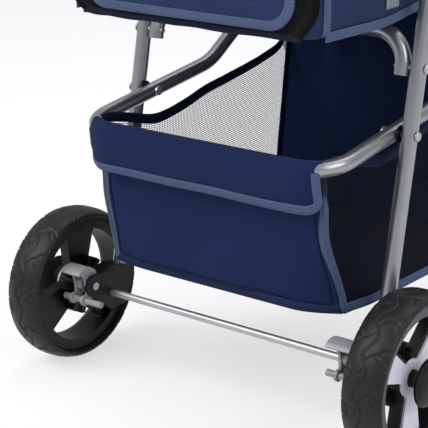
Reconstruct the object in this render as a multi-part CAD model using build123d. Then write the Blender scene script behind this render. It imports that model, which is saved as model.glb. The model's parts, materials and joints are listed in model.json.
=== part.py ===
"""Folding pet stroller: tube frame, cloth cabin with hood, storage basket, four wheels.

Millimetres, +X to the right of the person pushing, +Y the way it travels, +Z up.
Every piece is drawn with Y counted from the rear axle; save() shifts it to the part's origin.
"""
import math
import os

from build123d import *

os.makedirs("parts", exist_ok=True)

# frame tubes
TUBE_R = 8.0
TUBE_WALL = 1.2
FIT = 0.1            # radial gap of a tube in a plastic socket
RUN = 0.05           # radial gap of a turning fit
AIR = 0.4            # gap between pieces that move past one another
RIVET_R = 3.0
HEAD_R = 4.8
HEAD_T = 2.6
FAR = 1000.0         # reach of a cutter that goes right through

# rear wheels and axle
WHEEL_R = 85.0
TYRE_W = 44.0
TRACK = 428.0
AXLE_R = 4.0
RIM_R = 74.0
RIM_HALF = 16.0
HUB_R = 19.0
NOSE_R = 8.5
SPOKES = 3
SPOKE_HALF = 9.7     # half a spoke's width at the axle
SPOKE_FLARE = 0.196  # added to that for each millimetre out
COVER_IN = 4.3       # black edge left beside the silver cover
COVER_R = 59.6
HOLE_OUT = 63.0
CAP_R = 24.0
LUGS = 12
LUG_R = 32.0
LUG_TURN_DEG = 4.4   # puts a gap between lugs where the brake bar comes in
LEFT_SPOKE_DEG = 86.0
RIGHT_SPOKE_DEG = 151.0

# rear legs lean forward going up, front legs lean back going up
LEG_X = 170.0
LEG_FOOT_Y = 9.6
LEG_LEAN = 0.179
FRONT_X = 192.0
FRONT_FOOT_Y = 602.0
FRONT_LEAN = 0.746
LEG_LOW_Z = 98.0
FRONT_END_Z = 186.0
ARM = 60.0           # length of the fold joint's arms, pivot to tube
SLEEVE = 45.0        # tube length held in each fold joint
SLEEVE_R = 10.8

# handle
HANDLE_LEN = 424.0
HANDLE_BEND = 45.0
GRIP_R = 15.0
GRIP_HALF = 132.0

# basket tube, rear arch and front cross bar
STRUT_X = 151.0
STRUT_PIVOT_Z = 300.4
STRUT_BASE_Z = 289.6
STRUT_SLOPE = 0.158
STRUT_REAR_Y = -50.0
STRUT_BEND_Y = 165.0
STRUT_CORNER = 40.0
STRUT_BEND = 72.0
ARCH_X = 153.0
ARCH_LOW_Z = 355.0
ARCH_TOP_Z = 395.0
ARCH_BEND = 33.0
ARCH_RIVET_Z = 363.7
CROSS_Z = 391.0
HOOK_R = 13.0
HOOK_REACH = 20.0

# front casters
CASTER_R = 75.0
CASTER_W = 34.0
TRAIL = 25.0
SWIVEL_Y = 488.0
STEM_R = 5.0
CROWN_Z = 153.5
CROWN_T = 9.0
FORK_GAP = 2.0
FORK_T = 6.0
BARREL_R = 14.0
BARREL_H = 40.0
NECK_R = 10.0
NECK_H = 32.0

# cabin, canopy and hood
CABIN_X = 141.0
CABIN_Z = 405.0
CABIN_TOP = 600.0
CABIN_REAR = -66.0
CABIN_FRONT_LOW = 440.0
CABIN_FRONT_TOP = 490.0
WALL = 4.0
CABIN_CORNER = 14.0
DOOR_X = 124.0
DOOR_LOW = 412.0
DOOR_TOP = 584.0
DOOR_CORNER = 28.0
CANOPY_Y = 214.0
CANOPY_Z = 590.0
CANOPY_R = 278.0
CANOPY_EDGE = 55.0
CLOTH = 3.0
BAND_LOW = 16.0      # canopy cloth ends this far from the pivot line
CANOPY_FROM_DEG = 75.0
HOOD_FROM_DEG = 45.0
HOOD_TO_DEG = 125.0
HOOP_R = 2.5

# basket
BASKET_X = 145.0
BASKET_Z = 131.0
BASKET_REAR = -15.0
BASKET_FRONT = 292.0
BASKET_CLOTH = 2.5
CUFF_X = 139.0
SPLAY_DEG = 2.3      # the mesh sides lean out towards the floor
CUFF_LOW_Z = 240.0

# values that follow from the ones above
HALF_TRACK = TRACK / 2
AXLE_Z = WHEEL_R
PIVOT_Z = (FRONT_FOOT_Y - LEG_FOOT_Y) / (LEG_LEAN + FRONT_LEAN)
PIVOT_Y = LEG_FOOT_Y + LEG_LEAN * PIVOT_Z
FRONT_ANGLE = math.atan(FRONT_LEAN)
LEG_ANGLE = math.atan(LEG_LEAN)
CASTER_Y = SWIVEL_Y - TRAIL
FRONT_EDGE = CASTER_Y + CASTER_R
REAR_EDGE = PIVOT_Y - HANDLE_LEN * math.sin(FRONT_ANGLE) - GRIP_R
Y_SHIFT = -(FRONT_EDGE + REAR_EDGE) / 2


def leg_y(z):
    """Y of the rear leg's centre line at a height."""
    return LEG_FOOT_Y + LEG_LEAN * z


def front_y(z):
    """Y of the front leg's centre line at a height."""
    return FRONT_FOOT_Y - FRONT_LEAN * z


def along(t):
    """(y, z) on the front leg's line: t below the fold pivot, negative up the handle."""
    return PIVOT_Y + t * math.sin(FRONT_ANGLE), PIVOT_Z - t * math.cos(FRONT_ANGLE)


def save(name, *solids):
    """Write one named piece, shifted to the part's origin."""
    moved = [Pos(0, Y_SHIFT, 0) * s for shape in solids for s in shape.solids()]
    export_step(Compound(children=moved) if len(moved) > 1 else moved[0], f"parts/{name}.step")


def mirror_x(shape):
    """The same shape on the other side."""
    return mirror(shape, about=Plane.YZ)


def plate(sketch, x0, x1):
    """A side-view (y, z) sketch made solid from x0 to x1."""
    return extrude(Plane.YZ.offset(x0) * sketch, amount=x1 - x0)


def pin(x0, x1, y, z, r):
    """A round bar along X."""
    return plate(Pos(y, z) * Circle(r), x0, x1)


def rod(a, b, r):
    """A round bar between two points."""
    line = Line(a, b)
    return sweep(Plane(a, z_dir=line % 0) * Circle(r), path=line)


def bent_path(points, radii):
    """Straight runs joined by arcs of the given radii at the inner points."""
    edges = []
    start = Vector(points[0])
    for before, corner, after, r in zip(points, points[1:], points[2:], radii):
        back = (Vector(before) - Vector(corner)).normalized()
        ahead = (Vector(after) - Vector(corner)).normalized()
        half = math.radians(back.get_angle(ahead)) / 2
        reach = r / math.tan(half)
        first = Vector(corner) + back * reach
        last = Vector(corner) + ahead * reach
        centre_way = (back + ahead).normalized()
        middle = Vector(corner) + centre_way * (r / math.sin(half) - r)
        edges.append(Line(start, first))
        edges.append(ThreePointArc(first, middle, last))
        start = last
    edges.append(Line(start, Vector(points[-1])))
    return Wire(edges)


def bent_bar(points, radii, r):
    """A solid round bar along a bent path."""
    path = bent_path(points, radii)
    return sweep(Plane(path @ 0, z_dir=path % 0) * Circle(r), path=path)


def bent_tube(points, radii, r=TUBE_R, wall=TUBE_WALL):
    """A tube along a bent path."""
    return bent_bar(points, radii, r) - bent_bar(points, radii, r - wall)


def tube(a, b, r=TUBE_R, wall=TUBE_WALL):
    """A straight tube between two points."""
    return rod(a, b, r) - rod(a, b, r - wall)


def rivet(side, x_in, x_out, y, z):
    """A rivet along X with a domed head on its outer end."""
    shank = pin(x_in, x_out, y, z, RIVET_R)
    head = pin(x_out, x_out + HEAD_T, y, z, HEAD_R)
    head = fillet(head.edges().group_by(Axis.X)[-1], HEAD_T * 0.7)
    whole = shank + head
    return whole if side > 0 else mirror_x(whole)


def turned(profile):
    """Axial and radial points turned about X."""
    return revolve(Plane.XZ * make_face(Polyline(*profile, close=True)), axis=Axis.X)


def spoke_holes(first_deg, grow=0.0):
    """The gaps between a wheel's spokes as one side-view sketch about the axle."""
    gaps = Circle(HOLE_OUT + grow) - Circle(HUB_R)
    reach = HOLE_OUT * 1.5
    narrow = SPOKE_HALF - grow
    wide = narrow + SPOKE_FLARE * reach
    spoke = make_face(Polyline((0, -narrow), (reach, -wide), (reach, wide), (0, narrow), close=True))
    for k in range(SPOKES):
        gaps -= Rot(0, 0, first_deg + k * 360 / SPOKES) * spoke
    return fillet(gaps.vertices(), 3.0)


# rear wheels, drawn about the origin with the outer side towards +X
def rear_tyre():
    half = TYRE_W / 2
    section = [(-RIM_HALF, RIM_R), (-half + 2, RIM_R + 1.5), (-half, WHEEL_R - 7), (-half + 6, WHEEL_R - 2.5),
               (-half + 13, WHEEL_R - 0.3), (-3, WHEEL_R)]
    return turned(section + [(-x, r) for x, r in reversed(section)])


def rear_rim(first_deg):
    half = TYRE_W / 2
    seat = RIM_R - FIT
    ring = turned([(-RIM_HALF, HOLE_OUT), (-RIM_HALF, seat), (RIM_HALF, seat), (RIM_HALF, HOLE_OUT)])
    web = plate(Circle(HOLE_OUT + 1) - spoke_holes(0), -8, 4.5)
    hub = pin(-half - 7, 4.5, 0, 0, HUB_R) + pin(4.4, 15, 0, 0, NOSE_R)
    whole = Rot(first_deg, 0, 0) * (ring + web + hub)
    for k in range(LUGS):
        lug = Pos(-half / 2 - 2, 0, (HUB_R + LUG_R) / 2 - 1) * Box(14, 6, LUG_R - HUB_R + 2)
        whole += Rot((k + 0.5) * 360 / LUGS + LUG_TURN_DEG, 0, 0) * lug
    return whole - pin(-half - 20, 40, 0, 0, AXLE_R + RUN)


def rear_cover(first_deg):
    face = Circle(COVER_R) - spoke_holes(first_deg, COVER_IN) - Circle(NOSE_R + 0.5)
    return plate(face, 4.6, 7)


def rear_cap():
    skirt = NOSE_R + 2.5
    outer = [(15.4, 0), (15.4, skirt), (20, skirt + 2), (22.5, CAP_R), (25, CAP_R), (28, CAP_R - 5), (30, CAP_R / 2), (31, 0)]
    inner = [(14, 0), (14, NOSE_R + 1), (22, NOSE_R + 1), (25, 6), (27, 0)]
    return turned(outer) - turned(inner)


for name, side, first in (("left", -1, LEFT_SPOKE_DEG), ("right", 1, RIGHT_SPOKE_DEG)):
    spot = Pos(side * HALF_TRACK, 0, AXLE_Z)
    for kind, shape in (("rear_tyre", rear_tyre()), ("rear_rim", rear_rim(first)),
                        ("rear_cover", rear_cover(first)), ("rear_cap", rear_cap())):
        save(f"{kind}_{name}", spot * (shape if side > 0 else mirror_x(shape)))

axle_end = HALF_TRACK + 21
axle = pin(-axle_end, axle_end, 0, AXLE_Z, AXLE_R)
clips = []
for side in (-1, 1):
    groove = side * (HALF_TRACK + 17)
    axle -= pin(groove - 0.7, groove + 0.7, 0, AXLE_Z, AXLE_R + 1) - pin(groove - 1, groove + 1, 0, AXLE_Z, 3)
    clip = pin(groove - 0.6, groove + 0.6, 0, AXLE_Z, 7.5)
    clips.append(clip - pin(groove - 1, groove + 1, 0, AXLE_Z, 3.05))
save("rear_axle", axle)
save("axle_clips", *clips)

# axle brackets and brake levers: one moulding serves both sides, so neither is mirrored
BRAKE_Y = -28.0
BRAKE_Z = 100.0
BAR_Y = -38.0
BAR_Z = 85.0
BAR_R = 3.5
LOBE_R = 11.5
PIVOT_R = 3.0
leg_line = [(0, leg_y(60), 60), (0, leg_y(160), 160)]
socket = make_face(Polyline((13, 112), (38, 107), (41, 100), (34, 78), (22, 66), (-2, 66), (-11, 74),
                            (-12.5, 92), (-7, 105), close=True))
socket = fillet(socket.vertices(), 4.0)
flange = make_face(Polyline((3, 115), (28, 106), (31, 103), (28, 78), (22, 66), (-2, 66), (-11, 74),
                            (-12.5, 92), (-7, 109), close=True))
flange = fillet(flange.vertices(), 2.5)
lobe = make_hull((Pos(BRAKE_Y, BRAKE_Z) * Circle(LOBE_R)).edges()
                 + (Pos(0, 74) * Circle(7)).edges() + (Pos(4, 105) * Circle(5)).edges())
bracket = plate(socket, -12, 9) + plate(flange, 8.9, 13) + plate(lobe, 9.9, 14)
bracket -= rod((0, leg_y(LEG_LOW_Z), LEG_LOW_Z), leg_line[1], TUBE_R + FIT)
bracket -= pin(-40, 40, 0, AXLE_Z, AXLE_R + FIT)
bracket -= pin(-40, 40, BRAKE_Y, BRAKE_Z, PIVOT_R + FIT)

web_edge = Spline((-45.5, 115.5), (-40.3, 111), (-36.6, 103), (-35.8, 90))
web_side = make_face([web_edge, Polyline((-35.8, 90), (-38, 84), (-33, 80.5), (-21, 91), (-17, 100), (-20.5, 112),
                                         (-29, 118.6), (-38, 119.5), (-45.5, 115.5))])
web_side += Pos(BAR_Y, BAR_Z) * Circle(BAR_R + 2.5)
pad_top = Spline((-48, 115.2), (-45, 118.6), (-38, 121), (-28, 120), (-20, 112.5))
pad_under = Spline((-22.8, 111), (-29, 117), (-37.5, 118), (-43.6, 116), (-46.2, 113.6))
pad_side = make_face([pad_top, Line((-20, 112.5), (-22.8, 111)), pad_under, Line((-46.2, 113.6), (-48, 115.2))])
lever = plate(pad_side, -17, 9.5) + plate(web_side, 6.5, 9.5) + plate(web_side, -9, -6)
lever += pin(-7, 1, BRAKE_Y, BRAKE_Z, 7) - pin(-3, 2, BRAKE_Y, BRAKE_Z, 5.8)
lever += pin(-7, 7, BRAKE_Y, BRAKE_Z, 4.6)
lever -= pin(-40, 40, BRAKE_Y, BRAKE_Z, PIVOT_R + RUN)
lever -= pin(-40, 40, BAR_Y, BAR_Z, BAR_R + FIT)
brake_bar = pin(-20, 32, BAR_Y, BAR_Z, BAR_R)
brake_pin = pin(-9, 14.5, BRAKE_Y, BRAKE_Z, PIVOT_R) + pin(14.3, 16, BRAKE_Y, BRAKE_Z, 4.2)
for name, side in (("left", -1), ("right", 1)):
    spot = Pos(side * LEG_X, 0, 0)
    save(f"axle_bracket_{name}", spot * bracket)
    save(f"brake_lever_{name}", spot * lever)
    save(f"brake_bar_{name}", spot * brake_bar)
save("brake_pins", Pos(-LEG_X, 0, 0) * brake_pin, Pos(LEG_X, 0, 0) * brake_pin)

# rear legs with the fitting that carries the fold pivot
leg_way = Vector(0, math.sin(LEG_ANGLE), math.cos(LEG_ANGLE))
pivot_at = Vector(LEG_X, PIVOT_Y, PIVOT_Z)
leg_top = pivot_at - leg_way * 17
leg = tube((LEG_X, leg_y(LEG_LOW_Z + 0.3), LEG_LOW_Z + 0.3), leg_top)
for z in (STRUT_PIVOT_Z, ARCH_RIVET_Z):
    leg -= pin(LEG_X - 20, LEG_X + 20, leg_y(z), z, RIVET_R + RUN)
fitting = pin(LEG_X - 9, LEG_X + 9, PIVOT_Y, PIVOT_Z, 15) + rod(pivot_at, pivot_at - leg_way * 56, 9.8)
fitting -= rod(leg_top + leg_way * 0.3, pivot_at - leg_way * 80, TUBE_R + FIT)
fitting -= pin(LEG_X - 20, LEG_X + 20, PIVOT_Y, PIVOT_Z, AXLE_R + FIT)
save("rear_leg_right", leg)
save("rear_leg_left", mirror_x(leg))
save("leg_fittings", fitting, mirror_x(fitting))

# rear arch between the legs
arch_points = [(ARCH_X, leg_y(ARCH_LOW_Z), ARCH_LOW_Z), (ARCH_X, leg_y(ARCH_TOP_Z), ARCH_TOP_Z)]
arch_points += [(-x, y, z) for x, y, z in reversed(arch_points)]
arch = bent_tube(arch_points, [ARCH_BEND] * 2)
for side in (-1, 1):
    arch -= pin(side * ARCH_X - 12, side * ARCH_X + 12, leg_y(ARCH_RIVET_Z), ARCH_RIVET_Z, RIVET_R + RUN)
save("rear_arch", arch)
rivets = []
for side in (-1, 1):
    rivets.append(rivet(side, ARCH_X - TUBE_R - 1, LEG_X + TUBE_R, leg_y(ARCH_RIVET_Z), ARCH_RIVET_Z))
save("arch_rivets", *rivets)

# fold joint: an arm on the front leg and an arm on the handle turn on one bolt through the rear leg
FRONT_ARM_X = (181.0, 189.0)
HANDLE_ARM_X = (189.4, 200.0)
front_way = Vector(0, math.sin(FRONT_ANGLE), -math.cos(FRONT_ANGLE))
front_pivot = Vector(FRONT_X, PIVOT_Y, PIVOT_Z)
PUSH_T = 36.0
PUSH_R = 6.0
PUSH_TRAVEL = 3.5


def fold_arm(sign, x0, x1):
    """Arm and sleeve: sign 1 down the front leg, -1 up the handle."""
    eye = Pos(PIVOT_Y, PIVOT_Z) * Circle(16)
    tip = Pos(*along(sign * (ARM + 4))) * Circle(10)
    arm = plate(make_hull(eye.edges() + tip.edges()), x0, x1)
    root = front_pivot + front_way * sign * ARM
    sleeve = rod(root, root + front_way * sign * SLEEVE, SLEEVE_R)
    bore = rod(root + front_way * sign * 4, root + front_way * sign * 80, TUBE_R + FIT)
    return arm + sleeve - bore - pin(150, 220, PIVOT_Y, PIVOT_Z, AXLE_R + RUN)


front_arm = fold_arm(1, *FRONT_ARM_X)
handle_arm = fold_arm(-1, *HANDLE_ARM_X)
push_y, push_z = along(-PUSH_T)
push_floor = HANDLE_ARM_X[1] - 4 - PUSH_TRAVEL - AIR
handle_arm -= pin(push_floor, 220, push_y, push_z, PUSH_R + RUN)
button = pin(HANDLE_ARM_X[1] - 4, HANDLE_ARM_X[1] + 4.5, push_y, push_z, PUSH_R)
button = fillet(button.edges().group_by(Axis.X)[-1], 1.5)
arm_face = HANDLE_ARM_X[1]
bolt = pin(LEG_X - 11.5, arm_face + 2, PIVOT_Y, PIVOT_Z, AXLE_R)
bolt += pin(LEG_X - 14.5, LEG_X - 10.2, PIVOT_Y, PIVOT_Z, 7)
bolt += pin(arm_face + 0.4, arm_face + 4, PIVOT_Y, PIVOT_Z, 8)
save("fold_bolts", bolt, mirror_x(bolt))
save("front_arms", front_arm, mirror_x(front_arm))
save("handle_arms", handle_arm, mirror_x(handle_arm))
save("fold_button_right", button)
save("fold_button_left", mirror_x(button))

# handle tube with its foam grip
start = along(-(ARM + 4.3))
top = along(-HANDLE_LEN)
handle_points = [(FRONT_X, *start), (FRONT_X, *top), (-FRONT_X, *top), (-FRONT_X, *start)]
save("handle_tube", bent_tube(handle_points, [HANDLE_BEND] * 2))
grip = pin(-GRIP_HALF, GRIP_HALF, *top, GRIP_R)
save("handle_grip", grip - pin(-GRIP_HALF - 5, GRIP_HALF + 5, *top, TUBE_R + FIT))

# front legs, their cross bar and the caster housings
leg_end = (FRONT_X, front_y(FRONT_END_Z), FRONT_END_Z)
cross_y = front_y(CROSS_Z)
front_leg = tube((FRONT_X, *along(ARM + 4.3)), leg_end)
front_leg -= pin(FRONT_X - 20, FRONT_X + 20, cross_y, CROSS_Z, RIVET_R + RUN)
housing = rod(Vector(leg_end) - front_way * 46, Vector(leg_end) + front_way * 8, SLEEVE_R)
barrel = Pos(FRONT_X, SWIVEL_Y, 0) * extrude(Circle(BARREL_R), amount=BARREL_H)
housing += Pos(0, 0, CROWN_Z + CROWN_T + AIR) * barrel
neck_root = Pos(FRONT_X, leg_end[1]) * Circle(NECK_R)
neck_tip = Pos(FRONT_X, SWIVEL_Y) * Circle(BARREL_R)
neck = make_hull(neck_root.edges() + neck_tip.edges())
housing += Pos(0, 0, CROWN_Z + CROWN_T + AIR) * extrude(neck, amount=NECK_H)
housing -= rod(leg_end, Vector(leg_end) - front_way * 90, TUBE_R + FIT)
housing -= Pos(FRONT_X, SWIVEL_Y, 0) * extrude(Circle(STEM_R + RUN), amount=CROWN_Z + BARREL_H + 6)
housing -= Pos(FRONT_X, SWIVEL_Y, CROWN_Z + CROWN_T + AIR - FAR / 2) * Box(FAR, FAR, FAR)
save("front_leg_right", front_leg)
save("front_leg_left", mirror_x(front_leg))
save("caster_housings", housing, mirror_x(housing))
cross_half = FRONT_X - TUBE_R - 0.3
cross = pin(-cross_half, cross_half, cross_y, CROSS_Z, TUBE_R)
cross -= pin(-cross_half + 16, cross_half - 16, cross_y, CROSS_Z, TUBE_R - TUBE_WALL)
cross -= pin(-FAR, FAR, cross_y, CROSS_Z, RIVET_R + RUN)
save("cross_bar", cross)
save("cross_rivets", *[rivet(s, cross_half - 15, FRONT_X + TUBE_R, cross_y, CROSS_Z) for s in (-1, 1)])

# front casters
fork_w = CASTER_W + 2 * (FORK_GAP + FORK_T)
crown = Pos(FRONT_X, SWIVEL_Y - 6, CROWN_Z + CROWN_T / 2) * Box(fork_w, 38, CROWN_T)
crown = fillet(crown.edges().filter_by(Axis.Z), 8)
stem = Pos(FRONT_X, SWIVEL_Y, CROWN_Z + 2) * extrude(Circle(STEM_R), amount=CROWN_T + 34)
arm_side = make_hull((Pos(CASTER_Y, CASTER_R) * Circle(12)).edges()
                     + (Pos(SWIVEL_Y - 8, CROWN_Z + CROWN_T - 8) * Circle(8)).edges()
                     + (Pos(SWIVEL_Y + 3, CROWN_Z + CROWN_T - 8) * Circle(8)).edges())
inner = CASTER_W / 2 + FORK_GAP
fork = crown + stem
for side in (-1, 1):
    near = FRONT_X + side * inner
    fork += plate(arm_side, min(near, near + side * FORK_T), max(near, near + side * FORK_T))
fork -= pin(FRONT_X - 60, FRONT_X + 60, CASTER_Y, CASTER_R, AXLE_R + FIT)
fork_bolt = pin(FRONT_X - inner - FORK_T - 2, FRONT_X + inner + FORK_T + 2, CASTER_Y, CASTER_R, AXLE_R)
for side in (-1, 1):
    face = FRONT_X + side * (inner + FORK_T + 0.2)
    fork_bolt += pin(min(face, face + side * 4), max(face, face + side * 4), CASTER_Y, CASTER_R, 7)
half_w = CASTER_W / 2
section = [(-half_w + 1, CASTER_R - 19), (-half_w, CASTER_R - 14), (-half_w + 1, CASTER_R - 6),
           (-half_w + 5, CASTER_R - 1.5), (-half_w + 10, CASTER_R)]
caster_tyre = turned(section + [(-x, r) for x, r in reversed(section)])
scale_in = (CASTER_R - 23) / HOLE_OUT
caster_web = plate(Circle(CASTER_R - 22.5) - scale(spoke_holes(90), scale_in), -8, 8)
flange = half_w - 1
seat = CASTER_R - 19 - FIT
caster_rim = turned([(-flange, CASTER_R - 23), (-flange, seat), (flange, seat), (flange, CASTER_R - 23)])
caster_rim += caster_web + pin(-inner + 0.5, inner - 0.5, 0, 0, 15)
caster_rim -= pin(-60, 60, 0, 0, AXLE_R + RUN)
for name, turn in (("right", lambda s: s), ("left", mirror_x)):
    save(f"caster_fork_{name}", turn(fork))
    save(f"caster_bolt_{name}", turn(fork_bolt))
    save(f"front_tyre_{name}", turn(Pos(FRONT_X, CASTER_Y, CASTER_R) * caster_tyre))
    save(f"front_rim_{name}", turn(Pos(FRONT_X, CASTER_Y, CASTER_R) * caster_rim))

# basket tube: pivots on the rear legs, its hooks hold the cross bar
HOOK_WAY = math.radians(150)
hook_at = (cross_y + HOOK_REACH * math.cos(HOOK_WAY), CROSS_Z + HOOK_REACH * math.sin(HOOK_WAY))


def strut_z(y):
    """Height of the basket tube's straight sides."""
    return STRUT_BASE_Z + STRUT_SLOPE * y


strut_side = [(STRUT_X, *hook_at), (STRUT_X, STRUT_BEND_Y, strut_z(STRUT_BEND_Y)),
              (STRUT_X, STRUT_REAR_Y, strut_z(STRUT_REAR_Y))]
strut_points = strut_side + [(-x, y, z) for x, y, z in reversed(strut_side)]
strut_radii = [STRUT_BEND, STRUT_CORNER, STRUT_CORNER, STRUT_BEND]
strut_way = (Vector(strut_side[0]) - Vector(strut_side[1])).normalized()
trim = 6.0
open_side = [tuple(Vector(strut_side[0]) - strut_way * trim)] + strut_side[1:]
open_points = open_side + [(-x, y, z) for x, y, z in reversed(open_side)]
strut_y = leg_y(STRUT_PIVOT_Z)
strut = bent_tube(open_points, strut_radii)
strut -= pin(-FAR, FAR, strut_y, STRUT_PIVOT_Z, RIVET_R + RUN)
save("basket_tube", strut)
saddle_eye = Pos(cross_y, CROSS_Z) * Circle(HOOK_R)
saddle_tail = Pos(*hook_at) * Circle(TUBE_R + 3)
saddle = make_hull(saddle_eye.edges() + saddle_tail.edges())
saddle -= Pos(cross_y, CROSS_Z) * Circle(TUBE_R + AIR)
saddle -= Pos(cross_y, CROSS_Z) * Rot(0, 0, -16) * Pos(0, -26) * Rectangle(90, 50)
hook = plate(saddle, STRUT_X - 8, STRUT_X + 8)
tip = Vector(strut_side[0])
hook -= rod(tip - strut_way * (trim - 0.2), tip - strut_way * 60, TUBE_R + FIT)
hook += rod(tip - strut_way * (trim - 1), tip - strut_way * 32, TUBE_R - TUBE_WALL - FIT)
save("strut_hooks", hook, mirror_x(hook))
pivots = []
spacers = []
for side in (-1, 1):
    pivots.append(rivet(side, STRUT_X - TUBE_R - 0.3, LEG_X + TUBE_R, strut_y, STRUT_PIVOT_Z)
                  + pin(side * (STRUT_X - TUBE_R - 1.6) - 1.3, side * (STRUT_X - TUBE_R - 1.6) + 1.3,
                        strut_y, STRUT_PIVOT_Z, HEAD_R))
    gap = side * (STRUT_X + LEG_X) / 2
    spacers.append(pin(gap - 1.2, gap + 1.2, strut_y, STRUT_PIVOT_Z, 8.5)
                   - pin(gap - 3, gap + 3, strut_y, STRUT_PIVOT_Z, RIVET_R + RUN))
save("strut_rivets", *pivots)
save("strut_spacers", *spacers)

# basket: cloth floor, back with its cuff over the tube, front panel with its folds, mesh sides
floor = Pos(0, (BASKET_REAR + BASKET_FRONT) / 2, BASKET_Z + BASKET_CLOTH / 2) * Box(
    2 * BASKET_X, BASKET_FRONT - BASKET_REAR, BASKET_CLOTH)
save("basket_floor", floor)
floor_top = BASKET_Z + BASKET_CLOTH + 0.2
bar_z = strut_z(STRUT_REAR_Y)
wrap_in = TUBE_R + AIR
wrap_out = wrap_in + BASKET_CLOTH
cuff = Circle(wrap_out) - Circle(wrap_in) - Pos(0, -25) * Rectangle(60, 50)
cuff = Pos(STRUT_REAR_Y, bar_z) * cuff
cuff += make_face(Polyline((STRUT_REAR_Y + wrap_in, bar_z + 0.5), (STRUT_REAR_Y + wrap_out, bar_z + 0.5),
                           (BASKET_REAR + BASKET_CLOTH, floor_top), (BASKET_REAR, floor_top), close=True))
cuff += make_face(Polyline((STRUT_REAR_Y - wrap_out, bar_z + 0.5), (STRUT_REAR_Y - wrap_in, bar_z + 0.5),
                           (STRUT_REAR_Y + 1, CUFF_LOW_Z), (STRUT_REAR_Y - 1.5, CUFF_LOW_Z), close=True))
save("basket_back", plate(cuff, -CUFF_X, CUFF_X) - bent_bar(strut_points, strut_radii, TUBE_R + AIR))

FOLDS = 6
FOLD_DEEP = 7.0
FRONT_TOP_Z = CROSS_Z - TUBE_R - 4
FRONT_TOP_Y = cross_y - 4


def folded(half, y, z, deep):
    """A strip of cloth in plan at one height, waved with the given depth."""
    step = 2 * half / FOLDS
    runs = []
    for shift in (0, BASKET_CLOTH):
        for k in range(FOLDS):
            x = -half + k * step
            swell = deep if k % 2 else -deep
            crest = (x + step / 2, y + shift + swell, z)
            runs.append(ThreePointArc((x, y + shift, z), crest, (x + step, y + shift, z)))
    for x in (-half, half):
        runs.append(Line((x, y, z), (x, y + BASKET_CLOTH, z)))
    return make_face(runs)


panel_foot = folded(BASKET_X - 1, BASKET_FRONT, floor_top, 0.6)
panel_top = folded(BASKET_X - 11, FRONT_TOP_Y, FRONT_TOP_Z, FOLD_DEEP)
front_panel = loft([panel_foot, panel_top], ruled=True)
loops = []
for x in (-80, 80):
    bar_room = pin(x - 20, x + 20, cross_y, CROSS_Z, TUBE_R + AIR)
    loop = pin(x - 14, x + 14, cross_y, CROSS_Z, TUBE_R + AIR + 2) - bar_room
    tail = Pos(x, FRONT_TOP_Y + 1, FRONT_TOP_Z) * Box(28, 2, 14)
    loops.append(loop + (tail - bar_room))
save("basket_front", front_panel + loops[0] + loops[1])

MESH_TOP = [(302, 372), (298, 330), (286, 321), (250, 311), (226, 306), (179, 298), (142, 292),
            (107, 283), (72, 276), (47, 276), (6, 284), (-6, 280), (-24, 272)]
mesh_foot = [(BASKET_REAR, BASKET_Z), (BASKET_FRONT + BASKET_CLOTH, BASKET_Z)]
mesh = make_face(Polyline(*mesh_foot, *MESH_TOP, close=True))
mesh = plate(mesh, CUFF_X + 0.3, CUFF_X + 0.3 + BASKET_CLOTH)
hang = Pos(CUFF_X, 0, bar_z)
mesh = hang * Rot(0, -SPLAY_DEG, 0) * Pos(-CUFF_X, 0, -bar_z) * mesh
save("basket_mesh_right", mesh)
save("basket_mesh_left", mirror_x(mesh))

# cabin tub with the gap for its back door
def tub_block(inset, top):
    low_z = CABIN_Z + inset
    side = Polyline((CABIN_REAR + inset, low_z), (CABIN_FRONT_LOW - inset, low_z),
                    (CABIN_FRONT_TOP - inset, top), (CABIN_REAR + inset, top), close=True)
    shape = plate(make_face(side), -CABIN_X + inset, CABIN_X - inset)
    low = shape.edges().group_by(Axis.Z)[0]
    corners = shape.edges().filter_by(lambda e: abs((e % 0.5).Z) > 0.5)
    return fillet(low + corners, CABIN_CORNER - inset)


tub = tub_block(0, CABIN_TOP) - tub_block(WALL, CABIN_TOP + 40)
door_gap = RectangleRounded(2 * DOOR_X, DOOR_TOP - DOOR_LOW, DOOR_CORNER)
door_mid = Pos(0, CABIN_REAR, (DOOR_TOP + DOOR_LOW) / 2)
tub -= door_mid * Rot(90, 0, 0) * extrude(door_gap, amount=CABIN_CORNER + WALL, both=True)
tub -= pin(-FAR, FAR, CANOPY_Y, CANOPY_Z, AXLE_R + FIT)
save("cabin_tub", tub)
door_sheet = RectangleRounded(2 * DOOR_X - 2, DOOR_TOP - DOOR_LOW - 2, DOOR_CORNER - 1)
door = Pos(0, CABIN_REAR + 3, (DOOR_TOP + DOOR_LOW) / 2) * Rot(90, 0, 0) * extrude(door_sheet, amount=CLOTH)
save("back_door", door)

# cushion on the cabin floor, crowned, with drawn-in sides
CUSHION_GAP = 12.0
CUSHION_T = 28.0
CUSHION_CORNER = 35.0
cushion_z = CABIN_Z + WALL + 0.3
middle_y = (CABIN_REAR + CABIN_FRONT_LOW) / 2
cushion_l = CABIN_FRONT_LOW - CABIN_REAR - 2 * (WALL + CUSHION_GAP)
cushion_w = 2 * CABIN_X - 2 * (WALL + CUSHION_GAP)
layers = []
for lift, inset, round_by in ((0, 0.23, 0.86), (0.25, 0.03, 0.97), (0.5, 0, 1), (0.75, 0.09, 0.97),
                              (0.93, 0.46, 0.8), (1, 1.14, 0.57)):
    narrow = 2 * inset * CUSHION_CORNER
    layer = RectangleRounded(cushion_w - narrow, cushion_l - narrow, round_by * CUSHION_CORNER)
    layers.append(Pos(0, middle_y, cushion_z + lift * CUSHION_T) * layer)
save("cabin_cushion", loft(layers))

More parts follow.
